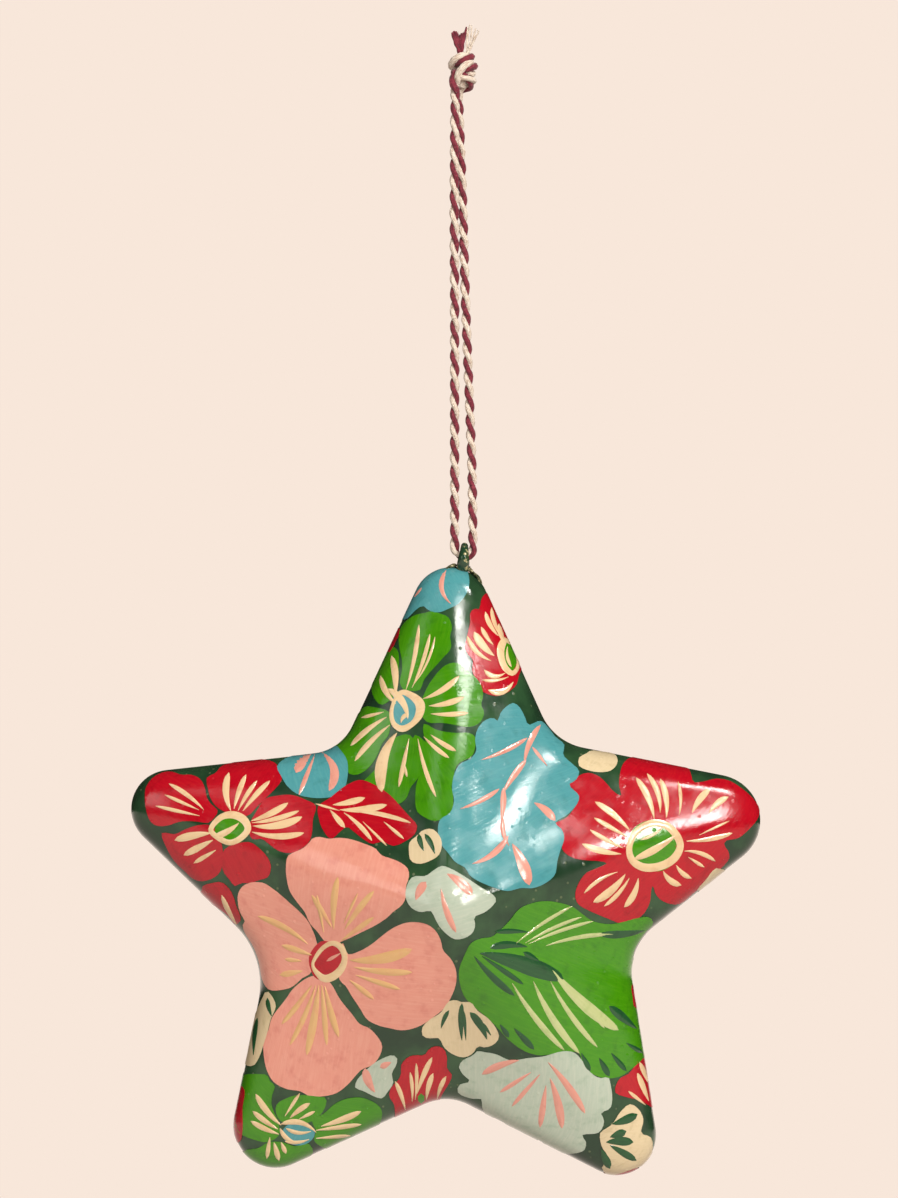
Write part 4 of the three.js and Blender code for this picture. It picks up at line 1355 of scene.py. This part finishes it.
            (400, 989, 356, 975, 5.4, 0), (374, 999, 350, 980, 5.4, 0), (290, 1045, 316, 985, 5.4, 2),
            (307, 1055, 319, 985, 8, 1), (327, 1045, 322, 985, 5.4, 0), (339, 1037, 325, 986, 6.4, -1),
            (282, 1024, 312, 985, 5.4, 1),
        ]),
        ("pink_line", [(327, 961, 341, 953, 3.4, 0)]),
    ], [
        [
            (333, 943, 5), (341, 947, 6), (345, 957, 5.5), (342, 968, 7), (334, 976, 8), (325, 978.5, 7.5),
            (317.5, 973, 5), (313, 965, 3), (318, 954, 4), (325.5, 946, 4.5),
        ],
    ]),
    ("mint_flower", (420, 910), [
        ("mint", [
            (442, 866), (451, 869), (465, 877), (480, 887), (492, 894), (496, 900), (491, 907), (483, 913),
            (474, 917), (475, 925), (472, 933), (464, 938), (455, 939), (448, 935), (440, 927), (435, 918),
            (431, 911), (421, 912), (412, 908), (406, 898), (407, 886), (413, 877), (426, 876), (433, 871),
        ]),
    ], [
        ("pink_line", [
            (426, 882, 416, 900, 9, 1), (472, 895, 447, 874, 10, 2), (456, 932, 441, 889, 6.4, -2),
        ]),
    ], []),
    ("green_leaf", (472, 950), [
        ("green", [
            (482, 938), (491, 937), (500, 930), (509, 921), (519, 909), (532, 903), (546, 901), (561, 903),
            (573, 907), (581, 913), (593, 921), (609, 924), (622, 922), (637, 918), (649, 917), (653, 923),
            (645, 932), (634, 950), (633, 963), (635, 981), (639, 1008), (645, 1033), (648, 1046),
            (644, 1056), (631, 1069), (618, 1077), (604, 1078), (591, 1073), (582, 1064), (579, 1053),
            (565, 1052), (539, 1055), (523, 1050), (507, 1038), (498, 1028), (487, 1017), (476, 1008),
            (465, 997), (460, 984), (459, 970), (464, 956), (471, 943),
        ]),
    ], [
        ("dark_line", [
            (490, 948, 527, 947, 8, -3), (563, 979, 480, 953, 18, 2), (523, 952, 539, 961, 6, 0),
            (514, 995, 474, 956, 7, -2), (523, 984, 482, 956, 5.4, 0), (495, 932, 528, 932, 5.4, -1),
            (599, 934, 644, 930, 8, 2), (609, 1006, 636, 1029, 9, 0), (590, 1071, 581, 1053, 5.4, 0),
            (609, 1076, 599, 1058, 6.4, 0), (626, 1071, 611, 1053, 5.4, 0), (642, 1053, 626, 1043, 4.6, 0),
            (509, 1037, 500, 1024, 5.4, 0), (534, 1049, 514, 1028, 6.4, 0),
        ]),
        ("sage_line", [
            (572, 906, 516, 943, 3.4, 2), (581, 917, 525, 943, 3.4, 2), (593, 921, 528, 944, 3.6, 2),
            (613, 934, 545, 946, 4.4, 3), (564, 1050, 512, 983, 6, -3), (579, 1053, 533, 981, 7.4, -4),
            (597, 1047, 550, 981, 5.4, -3), (618, 1030, 552, 970, 12, -4), (604, 1028, 588, 1006, 3.6, 0),
        ]),
    ], []),
    ("three_lobed_bud", (464, 1056), [
        ("cream", [
            (449, 1001), (456, 1000), (462, 1002), (471, 1002), (477, 1010), (489, 1019), (496, 1028),
            (499, 1037), (494, 1044), (485, 1047), (478, 1046), (473, 1053), (464, 1057), (453, 1054),
            (444, 1047), (439, 1038), (430, 1038), (423, 1036), (422, 1028), (430, 1019), (440, 1013),
        ]),
    ], [
        ("dark_line", [
            (449, 1010, 441, 1028, 4.6, 1), (462, 1003, 462, 1040, 6, 1), (464, 1011, 466, 1040, 3.4, 0),
            (470, 1012, 487, 1039, 8, -2), (482, 1022, 491, 1035, 3.4, 0),
        ]),
    ], []),
    ("mint_bud", (374, 1098), [
        ("mint", [
            (355, 1087), (357, 1080), (364, 1072), (374, 1063), (383, 1058), (393, 1055), (397, 1058),
            (396, 1065), (392, 1072), (392, 1076), (393, 1083), (388, 1091), (382, 1098), (374, 1096),
            (364, 1091),
        ]),
    ], [
        ("pink_line", [(380, 1067, 391, 1062, 6.4, 0), (365, 1068, 375, 1092, 9, 2)]),
    ], []),
    ("red_valley_flower", (415, 1112), [
        ("red", [
            (401, 1065), (408, 1057), (416, 1055), (424, 1055), (429, 1049), (437, 1046), (444, 1049),
            (447, 1058), (447, 1068), (452, 1075), (449, 1083), (444, 1091), (438, 1100), (421, 1107),
            (405, 1114), (396, 1120), (394, 1104), (389, 1096), (392, 1086), (398, 1080), (401, 1073),
        ]),
        ("green", [(421, 1093), (425, 1098), (421, 1103), (417, 1098)]),
    ], [
        ("cream_line", [
            (395, 1081, 405, 1109, 4.6, -1), (410, 1072, 412, 1101, 3.6, -1),
            (416, 1063, 415, 1099, 3.6, -1), (432, 1057, 417, 1093, 5.4, 1), (433, 1073, 426, 1099, 5.4, 1),
            (446, 1076, 437, 1098, 4.6, 1),
        ]),
    ], []),
    ("green_flower_low", (298, 1134), [
        ("green", [
            (240, 1076), (250, 1074), (258, 1074), (267, 1075), (270, 1081), (275, 1086), (272, 1096),
            (272, 1106), (279, 1124), (279, 1135), (267, 1142), (256, 1140), (243, 1135), (236, 1128),
            (238, 1110), (240, 1092),
        ]),
        ("green", [
            (287, 1098), (298, 1095), (315, 1096), (326, 1098), (326, 1104), (321, 1114), (312, 1121),
            (295, 1124), (281, 1121), (276, 1112), (277, 1104),
        ]),
        ("green", [
            (312, 1121), (323, 1114), (336, 1103), (349, 1098), (364, 1098), (379, 1106), (382, 1112),
            (379, 1124), (365, 1136), (347, 1143), (331, 1148), (321, 1146), (314, 1140), (316, 1130),
        ]),
        ("green", [
            (243, 1151), (258, 1148), (269, 1142), (282, 1142), (295, 1146), (308, 1143), (313, 1152),
            (299, 1161), (282, 1169), (262, 1169), (247, 1160),
        ]),
        ("red", [
            (240, 1084), (245, 1090), (243, 1108), (243, 1128), (240, 1142), (233, 1140), (231, 1112),
            (234, 1090),
        ]),
        ("blue", [
            (298, 1122), (310, 1125), (315, 1133), (309, 1142), (297, 1145), (286, 1141), (282, 1133),
            (287, 1125),
        ]),
    ], [
        ("cream_line", [
            (256, 1094, 281, 1125, 6.4, 2), (253, 1111, 278, 1129, 5.4, 1), (251, 1121, 279, 1134, 5.4, 1),
            (300, 1093, 285, 1116, 3.4, 0), (310, 1103, 290, 1118, 5.4, 1), (315, 1111, 299, 1119, 3.4, 0),
            (361, 1111, 321, 1126, 6.4, -1), (361, 1124, 316, 1130, 4.6, 0), (350, 1135, 316, 1138, 3.4, 0),
            (267, 1158, 270, 1137, 4.4, 0), (279, 1160, 274, 1142, 5.4, 0), (286, 1153, 281, 1142, 4.4, 0),
            (281, 1124, 316, 1132, 5.6, -6), (280, 1128, 300, 1143, 4.6, 4), (286, 1128, 311, 1131, 4, 3),
            (285, 1141, 309, 1139, 3.6, 2),
        ]),
    ], []),
    ("cream_wrap_left", (262, 1070), [
        ("cream", [
            (262, 1000), (267, 991), (272, 996), (276, 1006), (271, 1019), (268, 1031), (263, 1047),
            (259, 1058), (253, 1066), (243, 1062), (248, 1046), (251, 1030), (256, 1014),
        ]),
    ], [
        ("dark_line", [(258, 1018, 254, 1055, 4.6, 1), (268, 998, 272, 1016, 4.6, 1)]),
    ], []),
    ("small_red_left", (240, 925), [
        ("red", [
            (203, 886), (212, 883), (221, 882), (227, 886), (233, 895), (236, 905), (241, 920), (236, 924),
            (228, 915), (212, 903), (203, 894),
        ]),
    ], [
        ("cream_line", [(222, 895, 237, 924, 5, 1)]),
    ], []),
    ("mint_shell", (548, 1062), [
        ("mint", [
            (477, 1051), (485, 1052), (496, 1054), (510, 1060), (527, 1058), (544, 1056), (558, 1052),
            (568, 1051), (575, 1053), (583, 1062), (591, 1073), (600, 1078), (608, 1077), (610, 1083),
            (612, 1097), (610, 1108), (601, 1113), (604, 1120), (601, 1130), (597, 1133), (582, 1135),
            (586, 1142), (584, 1150), (573, 1153), (561, 1152), (549, 1147), (539, 1139), (530, 1137),
            (514, 1128), (499, 1119), (486, 1113), (482, 1105), (482, 1099), (471, 1098), (458, 1092),
            (459, 1085), (470, 1081), (463, 1074), (459, 1066), (463, 1060), (473, 1055),
        ]),
    ], [
        ("pink_line", [
            (482, 1074, 519, 1060, 7.4, -2), (500, 1092, 531, 1072, 4.6, 0), (512, 1106, 540, 1074, 4.6, 0),
            (540, 1127, 546, 1085, 6.4, 0), (562, 1128, 550, 1078, 8.4, 2), (585, 1113, 548, 1062, 7.4, 2),
        ]),
    ], []),
    ("cream_flower_right", (598, 1145), [
        ("cream", [
            (600, 1133), (612, 1124), (620, 1112), (630, 1104), (639, 1110), (643, 1120), (641, 1133),
            (650, 1137), (652, 1148), (646, 1162), (631, 1169), (610, 1174), (602, 1168), (608, 1157),
            (602, 1147), (600, 1139),
        ]),
    ], [
        ("dark_line", [
            (637, 1114, 612, 1124, 9, -1), (626, 1131, 610, 1137, 8, 0), (633, 1142, 606, 1142, 9, 1),
            (636, 1160, 610, 1145, 7.4, 0), (610, 1168, 601, 1149, 8, 0),
        ]),
    ], []),
    ("red_edge_right", (655, 1112), [
        ("red", [
            (643, 1054), (650, 1056), (655, 1081), (657, 1097), (655, 1108), (639, 1100), (626, 1097),
            (615, 1092), (619, 1079), (629, 1073),
        ]),
        ("red", [
            (606, 1170), (622, 1168), (640, 1167), (644, 1172), (634, 1178), (612, 1180), (600, 1176),
        ]),
        ("red", [(631, 985), (638, 987), (641, 997), (640, 1008), (634, 1008), (632, 997)]),
    ], [
        ("cream_line", [
            (639, 1062, 649, 1085, 4.6, 0), (637, 1073, 648, 1101, 5.4, 0), (628, 1091, 645, 1105, 3.4, 0),
        ]),
    ], []),
]

# How far each flower, patch, touch and ring lies over the one before, so that no two are level.
FLOWER_RISE = 0.0015
PATCH_RISE = 0.002
LAST_PATCH = 0.018
TOUCH_LEVEL = 0.07
TOUCH_RISE = 0.001
RING_LEVEL = 0.09

# Flowers that lie mostly round the rim, where the back has bare ground.
ROUND_THE_RIM = ("cream_wrap_left", "small_red_left", "red_edge_right")

for n, (name, root, patches, lines, rings) in enumerate(FLOWERS):
    film = Film()
    rise = FLOWER_RISE * n
    for k, (colour, outline) in enumerate(patches):
        last = k == len(patches) - 1
        film.patch(outline, colour, root, rise + (LAST_PATCH if last else PATCH_RISE * k))
    touches = [(colour, touch) for colour, row in lines for touch in row]
    for k, (colour, (x0, y0, x1, y1, width, bend)) in enumerate(touches):
        film.line((x0, y0), (x1, y1), width, colour, bend, rise + TOUCH_LEVEL + TOUCH_RISE * k)
    for drawn in rings:
        film.ring(drawn, "cream_line", rise + RING_LEVEL)
    film.cut()
    film.lay(name)
    if name not in ROUND_THE_RIM:
        film.lay("back_" + name, back=True)


# Wire eye, glue beads and plug
EYE_RADIUS = 1.75
EYE_Z = -73.75
EYE_STEP = 0.14
EYE_LEG = [(0.75, -75.65), (0.75, -80.0), (0.75, -85.1), (1.1, -85.95), (1.95, -86.3), (2.87, -86.3)]
EYE_LEAN = 0.16
EYE_LEAN_Z = -73.5
# Height and radius of the painted wire.
EYE_PAINT = [
    (-76.4, 0.6), (-75.4, 0.98), (-74.6, 0.96), (-73.6, 0.84), (-72.8, 0.7), (-72, 0.58), (-71, 0.53),
]
# Middle, half sizes and turn in degrees.
GLUE_LUMPS = [
    (-1.9, 0.1, -75.2, 0.95, 1.5, 0.36, 22), (-2.9, 0.1, -75.75, 0.95, 1.5, 0.34, 34),
    (-3.9, 0.0, -76.5, 0.7, 1.2, 0.24, 44), (0.95, 0.0, -75.75, 0.9, 1.5, 0.4, -38),
    (1.85, 0.0, -76.6, 0.95, 1.4, 0.36, -50), (2.55, 0.1, -77.75, 0.9, 1.2, 0.28, -62),
    (-0.4, 1.5, -75.5, 1.5, 0.9, 0.42, 8),
]
GLUE_GRAIN = 0.11


def half_eye(side):
    """From the eye's top down one side and one leg to the clinched end."""
    points = []
    for turn in range(0, 131, 13):
        t = math.radians(turn)
        points.append((0, side * EYE_RADIUS * math.sin(t), EYE_Z + EYE_RADIUS * math.cos(t)))
    return points + [(0, side * y, z) for y, z in EYE_LEG]


def wire_eye():
    """One wire bent into an eye, its legs run down into the plug and clinched outwards. Paint has run
    down the eye and stands thick on its lower part."""
    line = smooth_route(half_eye(-1)[::-1] + half_eye(1)[1:], EYE_STEP)
    # The eye stands a little to the right at its top and a little to the left at its foot.
    line[:, 0] += EYE_LEAN * np.clip((line[:, 2] - EYE_LEAN_Z) / 2, -1, 1)
    radii = np.interp(line[:, 2], *zip(*EYE_PAINT))
    bm = bmesh.new()
    sweep(bm, tube_sections(line, radii, 20))
    return finished("hanging_eye_painted", bm, [MATERIALS["wire"]])


def glue_beads():
    """Glue pressed round the foot of the eye, run together and thinning out down both shoulders."""
    bm = bmesh.new()
    for x, y, z, wide, deep, high, turn in GLUE_LUMPS:
        lump = bmesh.ops.create_icosphere(bm, subdivisions=4, radius=1)["verts"]
        bmesh.ops.scale(bm, vec=(wide, deep, high), verts=lump)
        tilted = Matrix.Rotation(math.radians(-turn), 3, "Y")
        bmesh.ops.rotate(bm, cent=(0, 0, 0), matrix=tilted, verts=lump)
        bmesh.ops.translate(bm, vec=(x, y, z), verts=lump)
    for v in bm.verts:
        x, y, z = v.co
        wave = math.sin(x * 3.1 + 0.4) * math.sin(y * 2.7 + 1.1) + math.sin(z * 3.7 + x * 1.9)
        v.co += Vector((0.07 * wave, 0.05 * wave, 0.06 * wave))
    piece = finished("glue_beads", bm, [MATERIALS["glue"]])
    merged = piece.modifiers.new("run_together", "REMESH")
    merged.mode = "VOXEL"
    merged.voxel_size = GLUE_GRAIN * MM
    merged.use_smooth_shade = True
    smooth = piece.modifiers.new("settled", "SMOOTH")
    smooth.iterations = 6
    graph = bpy.context.evaluated_depsgraph_get()
    mesh = bpy.data.meshes.new_from_object(piece.evaluated_get(graph))
    piece.modifiers.clear()
    piece.data = mesh
    return piece


eye = wire_eye()
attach(eye, "star")
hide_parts("hanging_eye")
beads = glue_beads()
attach(beads, "star")
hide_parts("glue_collar")
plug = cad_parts["anchor_plug"]
plug.data.materials.clear()
plug.data.materials.append(MATERIALS["pulp"])


# Floor, backdrop and lights
PEACH = linear(248, 231, 218)
FLOOR_Z = -620
FLOOR_RADIUS = 5200
LIGHT_AIM = (-2.6, 0, -122)
LAMP_COLOUR = (1.0, 0.97, 0.93)


def strength_by_ray(n, shown, mirrored, lit):
    """How strong a glow is to the camera, to gloss that mirrors it and to all that it lights."""
    path = n.add("ShaderNodeLightPath")
    strength = n.math("MULTIPLY", path.outputs["Is Camera Ray"], shown - lit)
    strength = n.math("ADD", strength, n.math("MULTIPLY", path.outputs["Is Glossy Ray"], mirrored - lit))
    return n.math("ADD", strength, lit)


def pale_floor():
    """A floor that the camera sees as the same even tone as the backdrop."""
    material = bpy.data.materials.new("pale_floor")
    material.use_nodes = True
    material.node_tree.nodes.clear()
    n = Nodes(material.node_tree)
    glow = n.add("ShaderNodeEmission", {"Color": PEACH}, {"Strength": strength_by_ray(n, 1.0, 1.15, 0.5)})
    n.add("ShaderNodeOutputMaterial", joins={"Surface": glow.outputs["Emission"]})
    bm = bmesh.new()
    bmesh.ops.create_circle(bm, cap_ends=True, segments=96, radius=FLOOR_RADIUS)
    bmesh.ops.translate(bm, vec=(0, 0, FLOOR_Z), verts=bm.verts)
    return finished("studio_floor", bm, [material])


floor = pale_floor()

world = bpy.data.worlds.new("studio")
world.use_nodes = True
world.node_tree.nodes.clear()
n = Nodes(world.node_tree)
sky = n.add("ShaderNodeBackground", {"Color": PEACH}, {"Strength": strength_by_ray(n, 1.0, 0.03, 0.28)})
n.add("ShaderNodeOutputWorld", joins={"Surface": sky.outputs["Background"]})
scene.world = world


def softbox(name, azimuth, elevation, distance, size, radiance, gives="gloss and fill", roll=0.0):
    """A light that looks at the star from an azimuth to the right, an elevation and a distance."""
    lamp = bpy.data.lights.new(name, "AREA")
    lamp.shape = "RECTANGLE"
    lamp.size, lamp.size_y = size
    lamp.energy = radiance * math.pi * size[0] * size[1]
    lamp.color = LAMP_COLOUR
    light = bpy.data.objects.new(name, lamp)
    a, e = math.radians(azimuth), math.radians(elevation)
    aim = Vector(LIGHT_AIM) * MM
    towards = Vector((math.sin(a) * math.cos(e), -math.cos(a) * math.cos(e), math.sin(e)))
    light.location = aim + distance * towards
    facing = (aim - light.location).to_track_quat("-Z", "Y").to_matrix()
    light.rotation_euler = (facing @ Matrix.Rotation(math.radians(roll), 3, "Z")).to_euler()
    light.visible_camera = False
    light.visible_glossy = "gloss" in gives
    light.visible_diffuse = "fill" in gives
    scene.collection.objects.link(light)


softbox("key_softbox", 36.5, 38, 1.1, (0.2, 0.1), 56, roll=-62)
softbox("key_spread", 24, 26, 1.1, (0.9, 0.8), 5.1, "fill")
softbox("top_strip", 16.3, 24.8, 1.1, (0.2, 0.1), 38, "gloss")
softbox("right_strip", 28, 13, 1.1, (0.1, 0.22), 50, "gloss", roll=6)
softbox("left_sheen", -21, 31.5, 1.2, (0.2, 0.12), 1.8)
softbox("side_fill", -42, 15, 1.2, (0.5, 0.4), 2.6)
softbox("back_fill", 165, 25, 1.2, (0.9, 0.8), 2.2, "fill")
